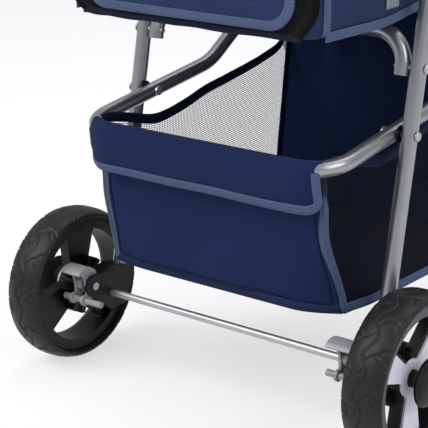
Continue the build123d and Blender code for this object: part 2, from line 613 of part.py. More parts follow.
# canopy fixed to the back, hood that turns over it on the cabin's side pivots
def canopy_band(half, r, edge, thick):
    """Hoop-shaped strip of cloth in the XZ plane, open towards the pivot line."""
    low = BAND_LOW
    cut = edge * (1 - math.sqrt(0.5))
    outer = [(-half, low), (-half, r - edge), (half, r - edge), (half, low)]
    band = make_face([Line(outer[0], outer[1]),
                      ThreePointArc(outer[1], (-half + cut, r - cut), (-half + edge, r)),
                      Line((-half + edge, r), (half - edge, r)),
                      ThreePointArc((half - edge, r), (half - cut, r - cut), outer[2]),
                      Line(outer[2], outer[3]), Line(outer[3], outer[0])])
    if thick:
        band -= canopy_band(half - thick, r - thick, edge - thick, 0)
        band -= Pos(0, low) * Rectangle(2 * (half - thick), thick)
    return band


def canopy_shell(half, r, edge, start_deg, end_deg):
    """Cloth turned about the pivot line from one angle to another above the front."""
    band = Plane.XZ * canopy_band(half, r, edge, CLOTH)
    swept = revolve(band, axis=Axis.X, revolution_arc=end_deg - start_deg)
    return Pos(0, CANOPY_Y, CANOPY_Z) * Rot(start_deg - 90, 0, 0) * swept


def hoop(half, r, edge, deg):
    """Bent wire just inside a canopy edge."""
    points = [(-half, BAND_LOW + 8), (-half, r), (half, r), (half, BAND_LOW + 8)]
    wire = bent_bar([(x, 0, z) for x, z in points], [edge] * 2, HOOP_R)
    return Pos(0, CANOPY_Y, CANOPY_Z) * Rot(deg - 90, 0, 0) * wire


HOOD_LIFT = CLOTH + 1.2
RIM_GAP = 0.3        # canopy cloth above the tub's edge
EYE_R = 14.0
inside = CLOTH + HOOP_R + 0.3
canopy = canopy_shell(CABIN_X, CANOPY_R, CANOPY_EDGE, CANOPY_FROM_DEG, 179.5)
save("canopy", canopy - Pos(0, CANOPY_Y, CABIN_TOP + RIM_GAP - FAR / 2) * Box(FAR, FAR, FAR))
save("canopy_hoop", hoop(CABIN_X - inside, CANOPY_R - inside, CANOPY_EDGE - inside, CANOPY_FROM_DEG + 2))
hood_x = CABIN_X + HOOD_LIFT
hood = canopy_shell(hood_x, CANOPY_R + HOOD_LIFT, CANOPY_EDGE + HOOD_LIFT, HOOD_FROM_DEG, HOOD_TO_DEG)
canopy_pivots = []
for side in (-1, 1):
    hood += pin(min(side * hood_x, side * (hood_x - CLOTH)), max(side * hood_x, side * (hood_x - CLOTH)),
                CANOPY_Y, CANOPY_Z, EYE_R + 8)
    shaft = pin(CABIN_X - WALL - 3, hood_x + 2.4, CANOPY_Y, CANOPY_Z, AXLE_R)
    shaft += pin(CABIN_X - WALL - 4, CABIN_X - WALL - 0.4, CANOPY_Y, CANOPY_Z, 9) + pin(
        hood_x + 0.4, hood_x + 3, CANOPY_Y, CANOPY_Z, EYE_R)
    canopy_pivots.append(shaft if side > 0 else mirror_x(shaft))
hood -= pin(-FAR, FAR, CANOPY_Y, CANOPY_Z, AXLE_R + RUN)
save("hood", hood)
hoop_x = hood_x + HOOP_R + 0.3
hoop_r = CANOPY_R + HOOD_LIFT + HOOP_R + 0.3
save("hood_hoop", hoop(hoop_x, hoop_r, CANOPY_EDGE + HOOD_LIFT, HOOD_FROM_DEG + 2))
save("canopy_pivots", *canopy_pivots)
print("pivot", PIVOT_Y + Y_SHIFT, PIVOT_Z, "shift", Y_SHIFT)
print("strut pivot", strut_y + Y_SHIFT, "cross", cross_y + Y_SHIFT)
print("files", len(os.listdir("parts")))
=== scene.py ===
# %% [markdown]
# # A folding pet stroller
# The frame, wheels and brakes come from the CAD model with their places and sizes.
# This lesson gives them their finishes and makes the soft goods: basket, cabin, canopy, hood and cushion.
# The CAD box is kept first.

# %% Load the frame
import cmath
import json
import math
from bisect import bisect_right

import bpy
from mathutils import Matrix, Vector, noise

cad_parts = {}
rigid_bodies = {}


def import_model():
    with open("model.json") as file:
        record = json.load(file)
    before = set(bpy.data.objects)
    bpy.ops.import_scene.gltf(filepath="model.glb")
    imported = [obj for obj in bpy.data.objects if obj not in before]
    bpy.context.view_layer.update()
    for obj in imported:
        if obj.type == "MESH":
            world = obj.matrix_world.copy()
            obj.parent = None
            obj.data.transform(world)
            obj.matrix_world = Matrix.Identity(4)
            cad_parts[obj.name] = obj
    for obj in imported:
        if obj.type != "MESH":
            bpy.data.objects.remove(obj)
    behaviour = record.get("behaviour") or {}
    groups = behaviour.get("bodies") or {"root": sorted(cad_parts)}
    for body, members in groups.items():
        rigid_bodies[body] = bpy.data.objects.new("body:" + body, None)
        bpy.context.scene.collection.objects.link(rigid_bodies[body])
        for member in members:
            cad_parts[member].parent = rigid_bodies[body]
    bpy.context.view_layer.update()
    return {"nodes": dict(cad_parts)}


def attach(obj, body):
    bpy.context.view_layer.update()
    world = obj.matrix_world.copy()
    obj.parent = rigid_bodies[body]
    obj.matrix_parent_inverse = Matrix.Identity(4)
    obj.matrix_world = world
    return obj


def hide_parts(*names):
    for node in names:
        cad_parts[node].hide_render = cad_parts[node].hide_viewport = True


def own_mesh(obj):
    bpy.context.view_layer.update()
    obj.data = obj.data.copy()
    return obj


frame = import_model()
nodes = frame["nodes"]

# %% [markdown]
# All places below are millimetres counted from the rear axle's line, as a stroller is measured on the bench.
# One helper turns them into the frame's metres, so no piece needs fitting by eye.

# %% Places in millimetres
AXLE_Y = -196.854


def at(place):
    """A place in millimetres from the rear axle, in the frame's metres."""
    return Vector((place[0], place[1] + AXLE_Y, place[2])) / 1000


# %% [markdown]
# The camera stands behind the right back wheel, at about the height of the cabin, and looks down a little.
# It could be aimed with a Track To constraint, but a turn worked out from yaw, dip and roll stays exact.

# %% Camera
EYE = (868.43, -1144.42, 650.32)
YAW, DIP, ROLL = 0.6582, 0.3010, 0.0048
LENS = 125.70
bpy.ops.object.select_all(action="DESELECT")
bpy.ops.object.camera_add(location=at(EYE))
camera = bpy.context.object
ahead = Vector((-math.sin(YAW) * math.cos(DIP), math.cos(YAW) * math.cos(DIP), -math.sin(DIP)))
level = Vector((math.cos(YAW), math.sin(YAW), 0))
above = level.cross(ahead)
right = level * math.cos(ROLL) + above * math.sin(ROLL)
up = above * math.cos(ROLL) - level * math.sin(ROLL)
camera.rotation_euler = Matrix((right, up, -ahead)).transposed().to_euler()
camera.data.lens = LENS
camera.data.sensor_width = 36
camera.data.clip_end = 50
bpy.context.scene.camera = camera
bpy.context.scene.view_settings.view_transform = "Standard"
print("camera at", tuple(camera.location))

# %% [markdown]
# A finish is a Principled shader with a few nodes in front of it.
# The nodes could be placed and linked one by one, but that is long and hard to read.
# So a Strand wraps one node output: sums on strands add Math nodes, and Finish.node adds any other node.


# %% Shader helpers
class Strand:
    """A node output on its way to a socket, with arithmetic."""

    def __init__(self, finish, socket):
        self.finish = finish
        self.socket = socket

    def sum(self, how, first, second=0.0):
        return self.finish.node("ShaderNodeMath", {"operation": how}, {0: first, 1: second})

    def __add__(self, other):
        return self.sum("ADD", self, other)

    __radd__ = __add__

    def __sub__(self, other):
        return self.sum("SUBTRACT", self, other)

    def __rsub__(self, other):
        return self.sum("SUBTRACT", other, self)

    def __mul__(self, other):
        return self.sum("MULTIPLY", self, other)

    __rmul__ = __mul__

    def __truediv__(self, other):
        return self.sum("DIVIDE", self, other)

    def __lt__(self, other):
        return self.sum("LESS_THAN", self, other)

    def __gt__(self, other):
        return self.sum("GREATER_THAN", self, other)

    def __abs__(self):
        return self.sum("ABSOLUTE", self)

    def sin(self):
        return self.sum("SINE", self)

    def part(self):
        """What is left after the whole number."""
        return self.sum("FRACT", self)

    def most(self, other):
        return self.sum("MAXIMUM", self, other)

    def least(self, other):
        return self.sum("MINIMUM", self, other)


class Finish:
    """One material: constants on the shader's sockets, strands into the ones that vary."""

    def __init__(self, name, **constants):
        self.material = bpy.data.materials.new(name)
        self.material.use_nodes = True
        self.tree = self.material.node_tree
        self.shader = self.tree.nodes["Principled BSDF"]
        for socket, value in constants.items():
            self.shader.inputs[socket.replace("_", " ")].default_value = value

    def node(self, kind, settings=None, sockets=None, out=0):
        made = self.tree.nodes.new(kind)
        for setting, value in (settings or {}).items():
            setattr(made, setting, value)
        for socket, value in (sockets or {}).items():
            if isinstance(value, Strand):
                self.tree.links.new(value.socket, made.inputs[socket])
            else:
                made.inputs[socket].default_value = value
        return Strand(self, made.outputs[out])

    def feed(self, **strands):
        for socket, strand in strands.items():
            self.tree.links.new(strand.socket, self.shader.inputs[socket.replace("_", " ")])

    def place(self):
        """Object coordinates, in metres."""
        return self.node("ShaderNodeTexCoord", out=3)

    def flat(self):
        """The flat cut's two coordinates, in metres, from the piece's own UV map."""
        split = self.node("ShaderNodeSeparateXYZ", sockets={0: self.node("ShaderNodeUVMap")})
        return split, Strand(self, split.socket.node.outputs[1])

    def grain(self, scale, detail=2.0, vector=None):
        """Even noise from 0 to 1."""
        vector = vector or self.place()
        return self.node("ShaderNodeTexNoise", sockets={"Vector": vector, "Scale": scale, "Detail": detail})

    def blend(self, share, first, second):
        return self.node("ShaderNodeMix", {"data_type": "RGBA"}, {0: share, 6: first, 7: second}, out=2)

    def dent(self, height, depth):
        """Bump of the given depth in metres."""
        bump = self.node("ShaderNodeBump", sockets={"Height": height, "Distance": depth, "Strength": 1.0})
        self.feed(Normal=bump)


def tint(red, green, blue):
    """A screen colour, 0 to 255, as the shader's linear colour."""
    steps = [value / 255 for value in (red, green, blue)]
    return (*[s / 12.92 if s <= 0.04045 else ((s + 0.055) / 1.055) ** 2.4 for s in steps], 1.0)


def shade(colour, times):
    """A colour made lighter or darker."""
    return tuple(min(1.0, part * times) for part in colour[:3]) + (1.0,)


# %% [markdown]
# The floor is a large pale plane and the light is soft: a wide lamp over the left shoulder, weaker ones on the right
# and above, and an even sky. To the camera the floor is partly its own white, so the page stays white and the shadow
# stays soft.

# %% Floor, sky and lamps
bpy.ops.object.select_all(action="DESELECT")
bpy.ops.mesh.primitive_plane_add(size=60)
floor = bpy.context.object
floor.name = "floor"
FLOOR_GLOW = 0.62
floor_paint = Finish("floor_paint", Base_Color=tint(238, 238, 240), Roughness=0.9)
rays = floor_paint.node("ShaderNodeLightPath")
seen = rays.most(Strand(floor_paint, rays.socket.node.outputs["Is Glossy Ray"]))
glow = floor_paint.node("ShaderNodeEmission", sockets={0: (1, 1, 1, 1), 1: 1.0})
floor_mix = floor_paint.node("ShaderNodeMixShader", sockets={0: seen * FLOOR_GLOW, 2: glow})
floor_paint.tree.links.new(floor_paint.shader.outputs[0], floor_mix.socket.node.inputs[1])
floor_paint.tree.links.new(floor_mix.socket, floor_paint.tree.nodes["Material Output"].inputs[0])
floor.data.materials.append(floor_paint.material)

sky = bpy.data.worlds.new("sky")
bpy.context.scene.world = sky
sky.use_nodes = True
sky_nodes, links = sky.node_tree.nodes, sky.node_tree.links
SKY_LIGHT = 0.55
sky_rays, pick, either = (sky_nodes.new(f"ShaderNode{kind}") for kind in ("LightPath", "MixShader", "Math"))
either.operation = "MAXIMUM"
plain, page = sky_nodes["Background"], sky_nodes.new("ShaderNodeBackground")
for light, colour, strength in ((plain, (0.92, 0.95, 1.0, 1.0), SKY_LIGHT), (page, (1, 1, 1, 1), 1.0)):
    light.inputs[0].default_value = colour
    light.inputs[1].default_value = strength
links.new(sky_rays.outputs["Is Camera Ray"], either.inputs[0])
links.new(sky_rays.outputs["Is Transmission Ray"], either.inputs[1])
for slot, source in enumerate((either, plain, page)):
    links.new(source.outputs[0], pick.inputs[slot])
links.new(pick.outputs[0], sky_nodes["World Output"].inputs[0])


def lamp(name, place, aim, size, watts):
    bpy.ops.object.select_all(action="DESELECT")
    bpy.ops.object.light_add(type="AREA", location=place)
    made = bpy.context.object
    made.name = name
    made.data.size = size
    made.data.energy = watts
    made.rotation_euler = (Vector(aim) - Vector(place)).to_track_quat("-Z", "Y").to_euler()


lamp("key_lamp", (-1.3, -2.2, 2.6), (0, 0, 0.35), 2.2, 85)
lamp("side_lamp", (2.4, -0.6, 1.9), (0, 0, 0.4), 1.8, 34)
lamp("top_lamp", (0.1, 0.9, 3.0), (0, 0, 0.4), 2.4, 40)

# %% [markdown]
# The frame's finishes. The tube is satin silver paint over steel, so it is only partly metallic.
# The small hardware is plated, the rims and brackets are grained black plastic, the levers mid grey, the wheel covers
# silver-white. Fine grain in colour, roughness and bump keeps each from looking like a flat fill.


# %% Hard finishes
def moulded(name, colour, rough, speckle, dent=0.00004, **constants):
    """Plastic or paint: a colour with faint clouding, uneven gloss and fine grain."""
    made = Finish(name, **constants)
    cloud = made.grain(28.0, 3.0)
    tone = made.blend(cloud, shade(colour, 1 - speckle), shade(colour, 1 + speckle))
    made.feed(Base_Color=tone, Roughness=rough - 0.07 + cloud * 0.14)
    made.dent(made.grain(1400.0, 1.0), dent)
    return made.material


silver_paint = moulded("silver_paint", tint(152, 153, 156), 0.3, 0.06, 0.00002, Metallic=0.85)
plated_steel = moulded("plated_steel", tint(178, 178, 180), 0.42, 0.08, 0.00001, Metallic=0.85)
black_plastic = moulded("black_plastic", tint(15, 15, 17), 0.38, 0.18, Specular_IOR_Level=0.22)
grey_plastic = moulded("grey_plastic", tint(132, 133, 135), 0.36, 0.07)
silver_plastic = moulded("silver_plastic", tint(206, 205, 215), 0.34, 0.03, 0.00002, Specular_IOR_Level=0.3)
grip_foam = moulded("grip_foam", tint(30, 30, 32), 0.85, 0.2, 0.0002, Specular_IOR_Level=0.15)
tyre_foam = moulded("tyre_foam", tint(26, 26, 27), 0.44, 0.25, 0.00008, Specular_IOR_Level=0.25)


def rim_with_painted_highlight(name, edge):
    """Black rim whose outermost faces, past edge metres from the middle, are painted satin grey as a highlight on the
    rim's edge.
    """
    made = Finish(name, Specular_IOR_Level=0.25)
    across = abs(made.node("ShaderNodeSeparateXYZ", sockets={0: made.place()}))
    cloud = made.grain(40.0, 3.0)
    black = made.blend(cloud, tint(12, 12, 13), tint(19, 19, 20))
    # painted highlight: the grey on the rim's outer faces stands in for the light that catches its edge
    grey = made.blend(cloud, tint(66, 64, 70), tint(80, 78, 85))
    made.feed(Base_Color=made.blend(across > edge, black, grey), Roughness=0.4 + cloud * 0.12)
    made.dent(made.grain(1400.0, 1.0), 0.00004)
    return made.material


rim_plastic = rim_with_painted_highlight("rim_plastic", 0.2268)
FRAME_FINISHES = [
    (silver_paint, "rear_leg_left rear_leg_right rear_arch front_leg_left front_leg_right cross_bar"
                   " basket_tube handle_tube"),
    (plated_steel, "arch_rivets strut_rivets fold_bolts brake_pins rear_axle axle_clips cross_rivets"
                   " caster_bolt_left caster_bolt_right canopy_hoop hood_hoop"),
    (black_plastic, "leg_fittings strut_spacers strut_hooks axle_bracket_left axle_bracket_right front_arms"
                    " handle_arms caster_housings rear_cap_left rear_cap_right"
                    " canopy_pivots caster_fork_left caster_fork_right front_rim_left front_rim_right"),
    (grey_plastic, "brake_lever_left brake_lever_right brake_bar_left brake_bar_right fold_button_left"
                   " fold_button_right"),
    (silver_plastic, "rear_cover_left rear_cover_right"),
    (rim_plastic, "rear_rim_left rear_rim_right"),
]
for finish, names in FRAME_FINISHES:
    for name in names.split():
        nodes[name].data.materials.clear()
        nodes[name].data.materials.append(finish)
print("frame finishes on", sum(len(names.split()) for _, names in FRAME_FINISHES), "nodes")

# %% [markdown]
# The cloth finishes. Every soft piece carries its flat cut, in metres, as its UV map, so a weave has its real pitch
# and follows the cloth round a bend. Navy cloth is a plain weave, the cabin's cloth is streaked like denim, tape is
# ribbed and stitched along both edges, and mesh is a net with open cells in its alpha.


# %% Cloth finishes
TURN = 2 * math.pi


def woven(name, colour, streak, pitch=0.0011, mottle=0.5):
    """Plain weave of the given pitch, with streaks along the warp as in heathered yarn."""
    made = Finish(name, Sheen_Weight=0.03, Sheen_Roughness=0.4, Specular_IOR_Level=0.1)
    across, along = made.flat()
    weave = (across * (TURN / pitch)).sin() * (along * (TURN / pitch)).sin()
    warp = made.node("ShaderNodeCombineXYZ", sockets={0: across * 900.0, 1: along * 60.0})
    weft = made.node("ShaderNodeCombineXYZ", sockets={0: across * 60.0, 1: along * 900.0})
    yarn = made.grain(1.0, 2.0, warp) * 0.5 + made.grain(1.0, 2.0, weft) * 0.5
    share = (yarn - 0.5) * (4.0 * streak) + (made.grain(9.0, 2.0) - 0.5) * mottle + weave * 0.06 + 0.5
    dark, light = shade(colour, 0.88 - streak * 0.6), shade(colour, 1.12 + streak)
    made.feed(Base_Color=made.blend(share.most(0.0).least(1.0), dark, light), Roughness=0.74 + yarn * 0.16)
    made.dent(weave + yarn * 1.5, 0.00012)
    return made.material


def taped(name, colour, width, thread):
    """Ribbed tape of a known width with a row of stitches near each edge."""
    made = Finish(name, Specular_IOR_Level=0.12)
    along, across = made.flat()
    ribs = (along * (TURN / 0.0013)).sin()
    edge = abs((across / width).part() - 0.5)
    row = (abs(edge - 0.4) < 0.035) * ((along / 0.0034).part() < 0.62)
    cloud = made.grain(40.0, 3.0)
    worn = made.blend(cloud * 0.8 + ribs * 0.1, shade(colour, 0.85), shade(colour, 1.15))
    made.feed(Base_Color=made.blend(row, worn, thread), Roughness=0.72 + cloud * 0.14)
    made.dent(ribs * 0.3 + row * 1.6, 0.00022)
    return made.material


def netted(name, colour, pitch, bar):
    """Open net: threads of share bar round square cells, clear between."""
    made = Finish(name, Roughness=0.7, Specular_IOR_Level=0.1)
    across, along = made.flat()
    cell_x = abs((across / pitch).part() - 0.5)
    cell_y = abs((along / pitch).part() - 0.5)
    thread = cell_x.most(cell_y) > 0.5 - bar / 2
    twist = made.grain(2600.0, 1.0)
    made.feed(Base_Color=made.blend(twist, shade(colour, 0.6), colour), Alpha=thread)
    made.dent(cell_x.most(cell_y), 0.0003)
    return made.material


TAPE_W = 9.0
navy_cloth = woven("navy_cloth", tint(23, 35, 71), 0.05)
dark_navy_cloth = woven("dark_navy_cloth", tint(17, 25, 51), 0.05)
denim_cloth = woven("denim_cloth", tint(34, 45, 76), 0.34, 0.0014, mottle=1.3)
slate_tape = taped("slate_tape", tint(70, 82, 110), TAPE_W / 1000, tint(92, 102, 128))
navy_tape = taped("navy_tape", tint(16, 23, 47), TAPE_W / 1000, tint(36, 46, 78))
panel_tape = taped("panel_tape", tint(30, 41, 74), TAPE_W / 1000, tint(17, 25, 50))
black_net = netted("black_net", tint(9, 10, 14), 0.0024, 0.3)
print("cloth finishes", navy_cloth.name, denim_cloth.name, slate_tape.name, black_net.name)

# %% [markdown]
# A few tools serve every soft piece. drape lays a fine grid on a form given as a formula of two shares, u across and
# v along, and scales its UV map to the flat cut. weld closes its seam, thicken gives it a second face, and dress gives
# it a finish and the body that carries it. line_through and walk draw the lines that the forms follow, one through
# points and one from straights and bends. A real maker works in the same order: cut, sew to shape, bind the edges.


# %% Tools for cloth
def only(piece):
    """Select this piece alone and make it active, as a click on it would."""
    bpy.ops.object.select_all(action="DESELECT")
    piece.select_set(True)
    bpy.context.view_layer.objects.active = piece


def modify(piece, kind, **settings):
    """Add one modifier and apply it."""
    only(piece)
    made = piece.modifiers.new(kind.lower(), kind)
    for setting, value in settings.items():
        setattr(made, setting, value)
    bpy.ops.object.modifier_apply(modifier=made.name)


def thicken(piece, thick, offset=0.0):
    """Give a sheet its thickness, in millimetres."""
    modify(piece, "SOLIDIFY", thickness=thick / 1000, offset=offset)


WELD_GAP = 0.00002


def weld(piece, outward=True):
    """Merge the seam where a grid closes on itself, and point the faces outwards."""
    only(piece)
    bpy.ops.object.mode_set(mode="EDIT")
    bpy.ops.mesh.select_all(action="SELECT")
    bpy.ops.mesh.remove_doubles(threshold=WELD_GAP)
    if outward:
        bpy.ops.mesh.normals_make_consistent(inside=False)
    bpy.ops.object.mode_set(mode="OBJECT")


def drape(name, across, along, shape, cut):
    """A grid laid on shape(u, v) in millimetres; its UV map is the flat cut in metres."""
    bpy.ops.object.select_all(action="DESELECT")
    bpy.ops.mesh.primitive_grid_add(x_subdivisions=across, y_subdivisions=along, size=1)
    piece = bpy.context.object
    piece.name = name
    piece.data.name = name
    for corner in piece.data.uv_layers[0].data:
        corner.uv = (corner.uv[0] * cut[0], corner.uv[1] * cut[1])
    for vertex in piece.data.vertices:
        vertex.co = at(shape(vertex.co.x + 0.5, vertex.co.y + 0.5))
    bpy.ops.object.shade_smooth()
    return piece


def dress(piece, finish, body, slot, *stands_for):
    """Finish, carrying body and the CAD nodes that the piece stands for; the slot argument is not used."""
    piece.data.materials.clear()
    piece.data.materials.append(finish)
    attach(piece, body)
    if stands_for:
        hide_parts(*stands_for)
    print(piece.name, "faces", len(piece.data.polygons))
    return piece


def ripple(place, size, deep):
    """Smooth noise of a given grain size and depth, for cloth that isn't quite flat."""
    return noise.noise(Vector(place) / size) * deep


def line_through(points, closed=False):
    """A smooth line through points, as a function of the share of its length."""
    points = [Vector(p) for p in points]
    count = len(points)
    dense = []
    for k in range(count if closed else count - 1):
        p0, p1, p2, p3 = (points[(k + d) % count if closed else min(max(k + d, 0), count - 1)] for d in (-1, 0, 1, 2))
        for step in range(12):
            t = step / 12
            dense.append((2 * p1 + (p2 - p0) * t + (2 * p0 - 5 * p1 + 4 * p2 - p3) * t * t
                          + (3 * p1 - p0 - 3 * p2 + p3) * t ** 3) / 2)
    dense.append(points[0 if closed else -1].copy())
    lengths = [0.0]
    for before, after in zip(dense, dense[1:]):
        lengths.append(lengths[-1] + (after - before).length)

    def point(share):
        want = min(max(share, 0.0), 1.0) * lengths[-1]
        low = min(bisect_right(lengths, want), len(lengths) - 1) - 1
        gap = lengths[low + 1] - lengths[low]
        return dense[low].lerp(dense[low + 1], (want - lengths[low]) / gap if gap else 0.0)

    point.length = lengths[-1]
    return point


def walk(start, ahead, runs):
    """A line of straights and bends in a plane, with complex numbers for places and headings. Each run has a length and
    a radius, 0 for a straight and below 0 for a bend to the right. The line gives the place at a share of its length,
    the heading there, the run's number and the share of that run."""
    total = sum(length for length, _ in runs)

    def point(share):
        spot, heading, left = start, ahead, min(max(share, 0.0), 1.0) * total
        for number, (length, radius) in enumerate(runs):
            gone = min(left, length)
            if radius:
                turned = heading * cmath.exp(1j * gone / radius)
                spot, heading = spot + (heading - turned) * 1j * radius, turned
            else:
                spot += heading * gone
            if left <= length:
                break
            left -= length
        return spot, heading, number, gone / length

    point.length = total
    return point


# %% [markdown]
# Tape comes in two kinds. tape lies along a corner seam, half on each of two panels, so it is told the way along each
# panel and the way off it. tape_on follows one surface, flat on it or folded over its edge as a hem. Each tape is a
# narrow grid with its own thickness.

# %% Tape
TAPE_T = 0.9
ON_CLOTH = 1.3


def tape(name, line, ways, outs, steps, finish, body, width, closed=False, crown=0.5):
    """line(u), ways(u) -> two unit ways, outs(u) -> unit outward for each half."""
    half = width / 2

    def shape(u, v):
        side = 0 if v < 0.5 else 1
        share = abs(v - 0.5) * 2
        lift = ON_CLOTH + crown * (1 - share) ** 2
        way, out = ways(u), outs(u)
        if share < 0.01:
            return line(u) + (out[0] + out[1] - way[0] - way[1]) * (lift / 2)
        return line(u) + way[side] * (half * share) + out[side] * lift

    made = drape(name, steps, 6, shape, (line.length / 1000, width / 1000))
    if closed:
        weld(made, outward=False)
    thicken(made, TAPE_T)
    return dress(made, finish, body, "cloth")


def tape_on(name, surface, path, rows, steps, finish, body, closed=False):
    """Tape that follows a surface. path(t) gives a place (a, b) on the surface and the way (a, b) of one millimetre
    inwards; rows gives how far in each edge line of the tape lies and how far it stands off the cloth."""
    def face(t):
        (a, b), (da, db) = path(t % 1.0 if closed else t)
        here = surface(a, b)
        into = (surface(a + 3 * da, b + 3 * db) - here).normalized()
        (a0, b0), _ = path((t - 0.003) % 1.0 if closed else max(t - 0.003, 0.0))
        (a1, b1), _ = path((t + 0.003) % 1.0 if closed else min(t + 0.003, 1.0))
        along = (surface(a1, b1) - surface(a0, b0)).normalized()
        return here, into, along.cross(into).normalized(), (a, b), (da, db)

    def shape(u, v):
        inset, lift = rows[round(v * (len(rows) - 1))]
        here, into, out, (a, b), (da, db) = face(u)
        spot = surface(a + da * inset, b + db * inset) if inset > 0 else here + into * inset
        return spot + out * lift

    run = sum((face((k + 1) / 40)[0] - face(k / 40)[0]).length for k in range(40))
    wide = abs(rows[-1][0] - rows[0][0]) if rows[0][1] == rows[-1][1] else 2 * rows[0][0]
    made = drape(name, steps, len(rows) - 1, shape, (run / 1000, wide / 1000))
    if closed:
        weld(made, outward=False)
    thicken(made, TAPE_T)
    return dress(made, finish, body, "cloth")


def folded(width):
    """Rows of a tape folded over an edge, with width on each face."""
    front = [(width * share, ON_CLOTH) for share in (1.0, 0.66, 0.33, 0.0)]
    return front + [(-ON_CLOTH, 0.0)] + [(inset, -lift) for inset, lift in reversed(front)]


def hem(name, shape, row, steps, finish, body, width=TAPE_W):
    """Tape folded over the first or last row of a draped form."""
    inward = 1.0 if row < 0.5 else -1.0
    near = 0.05

    def path(t):
        reach = (shape(t, row + inward * near) - shape(t, row)).length / near
        return (t, row), (0.0, inward / reach)

    return tape_on(name, shape, path, folded(width), steps, finish, body)


def ring(half, low, high, corner):
    """Path round an upright rectangle with round corners, from the middle of its top, with its way inwards."""
    top, side, bend = half - corner, high - low - 2 * corner, (math.pi * corner / 2, -corner)
    runs = [(top, 0), bend, (side, 0), bend, (2 * top, 0), bend, (side, 0), bend, (top, 0)]
    line = walk(complex(0, high), 1, runs)

    def path(t):
        spot, ahead, _, _ = line(t)
        return (spot.real, spot.imag), (ahead.imag, -ahead.real)

    path.length = line.length
    return path


# %% [markdown]
# The tyres are solid foam with a soft round section. A torus primitive has the wrong section and no tread, so a grid
# is wrapped twice: round the wheel and round the section. The tread is pressed in as it is in the mould: S-shaped
# grooves across the width, one wave along the middle and small moons at the shoulders.


# %% Tyres
def ease(value, low, high):
    """0 below low, 1 above high, smooth between."""
    share = min(max((value - low) / (high - low), 0.0), 1.0)
    return share * share * (3 - 2 * share)


def groove(gap, wide):
    """Round-bottomed groove: 1 in its middle, 0 from half its width."""
    return max(0.0, 1.0 - (2 * gap / wide) ** 2)


TREAD_DEEP = 1.3


def tyre(name, centre, section, blocks, body):
    """section: (across, radius) from the rim seat to the crown, one half."""
    half, radius = max(x for x, _ in section), section[-1][1]
    seat_x, seat = section[0]
    outer = line_through([(-x, r, 0) for x, r in section] + [(x, r, 0) for x, r in reversed(section[:-1])])
    pitch = TURN * radius / blocks

    def shape(u, v):
        turn = u * TURN
        if v < 0.9:
            spot = outer(v / 0.9)
        else:
            spot = Vector((seat_x, seat, 0)).lerp(Vector((-seat_x, seat, 0)), (v - 0.9) / 0.1)
        across = spot.x / half
        side = math.copysign(1.0, across)
        round_mm = turn * radius
        sway = 8.0 * math.sin(math.pi * across) + 4.0 * side
        cut = abs(((round_mm + sway) / pitch + 0.5) % 1.0 - 0.5) * pitch
        wave = abs(spot.x - 0.2 * half * math.sin(blocks * turn))
        step = ((round_mm + side * pitch / 4) / pitch + 0.5) % 1.0 - 0.5
        moon = abs(math.hypot(step * pitch, (abs(across) - 0.95) * half) - 0.42 * half)
        tick = math.hypot(step * pitch, (abs(across) - 0.42) * half * 0.4)
        tread = ease(spot.y, radius - 8.5, radius - 4.5)
        deep = tread * TREAD_DEEP * max(groove(cut, 3.0), groove(wave, 2.6), groove(moon, 2.6), groove(tick, 3.4))
        r = spot.y - deep
        return Vector((centre[0] + spot.x, centre[1] + r * math.cos(turn), centre[2] + r * math.sin(turn)))

    made = drape(name, 480, 60, shape, (TURN * radius / 1000, 0.12))
    weld(made)
    return dress(made, tyre_foam, body, "tyre", name)


SIDES = ((-1, "left"), (1, "right"))
REAR_WHEEL, FRONT_WHEEL = (214, 0, 85), (192, 463, 75)
REAR_SECTION = [(16, 74), (20, 75.4), (21.9, 78), (20.2, 80.6), (16, 82.6), (9, 84.5), (0, 85)]
FRONT_SECTION = [(15, 56), (17, 61), (16.4, 66), (13, 71), (7, 74.2), (0, 75)]
for side, word in SIDES:
    tyre(f"rear_tyre_{word}", (side * REAR_WHEEL[0], *REAR_WHEEL[1:]), REAR_SECTION, 14, f"rear_wheel_{word}")
    tyre(f"front_tyre_{word}", (side * FRONT_WHEEL[0], *FRONT_WHEEL[1:]), FRONT_SECTION, 12, f"front_wheel_{word}")

# %% [markdown]
# The basket's back is one sheet: up from the floor, over the bent tube and down again as a cuff with round corners.
# It could be two pieces, but one sheet shows the cloth rolling over the tube. The tube bends forward at its ends, so
# the sheet follows it there. Below the cuff the panel leans forward to the floor.

# %% Basket back
CLOTH_T = 1.4
BASKET_HALF = 144.5
BASKET_Z = 131.5
BASKET_REAR, BASKET_FRONT = -15.0, 292.0
CUFF_FROM = 0.80
back_path = line_through([(0, BASKET_REAR, BASKET_Z), (0, -22, 165), (0, -29, 205), (0, -34.5, 240), (0, -38, 262),
                          (0, -40.6, 281.7), (0, -43.4, 288.4), (0, -50, 291.2), (0, -56.6, 288.4), (0, -59.4, 281.7),
                          (0, -57.5, 268), (0, -52.5, 253), (0, -48.5, 240)])


def tube_bend(x):
    """How far the basket tube has bent forward at this distance from the middle."""
    over = min(max(0.0, abs(x) - 111.0), 39.0)
    return 40 - math.sqrt(1600 - over * over)


def rear_edge(x):
    """Y of the floor's rear edge: its corners are rounded in plan, the right one more."""
    deep = 20.0 if x > 0 else 7.0
    return BASKET_REAR + deep * (max(0.0, abs(x) - 95.0) / 45.0) ** 1.6


PANEL_HALF = 139.0


def side_half(y, side):
    """Half the floor's width: the rounded rear corners draw it in."""
    return PANEL_HALF + (BASKET_HALF - PANEL_HALF) * ease(y, rear_edge(side * PANEL_HALF), 48.0)


CUFF_HALF, CUFF_CORNER = 140.0, 15.0


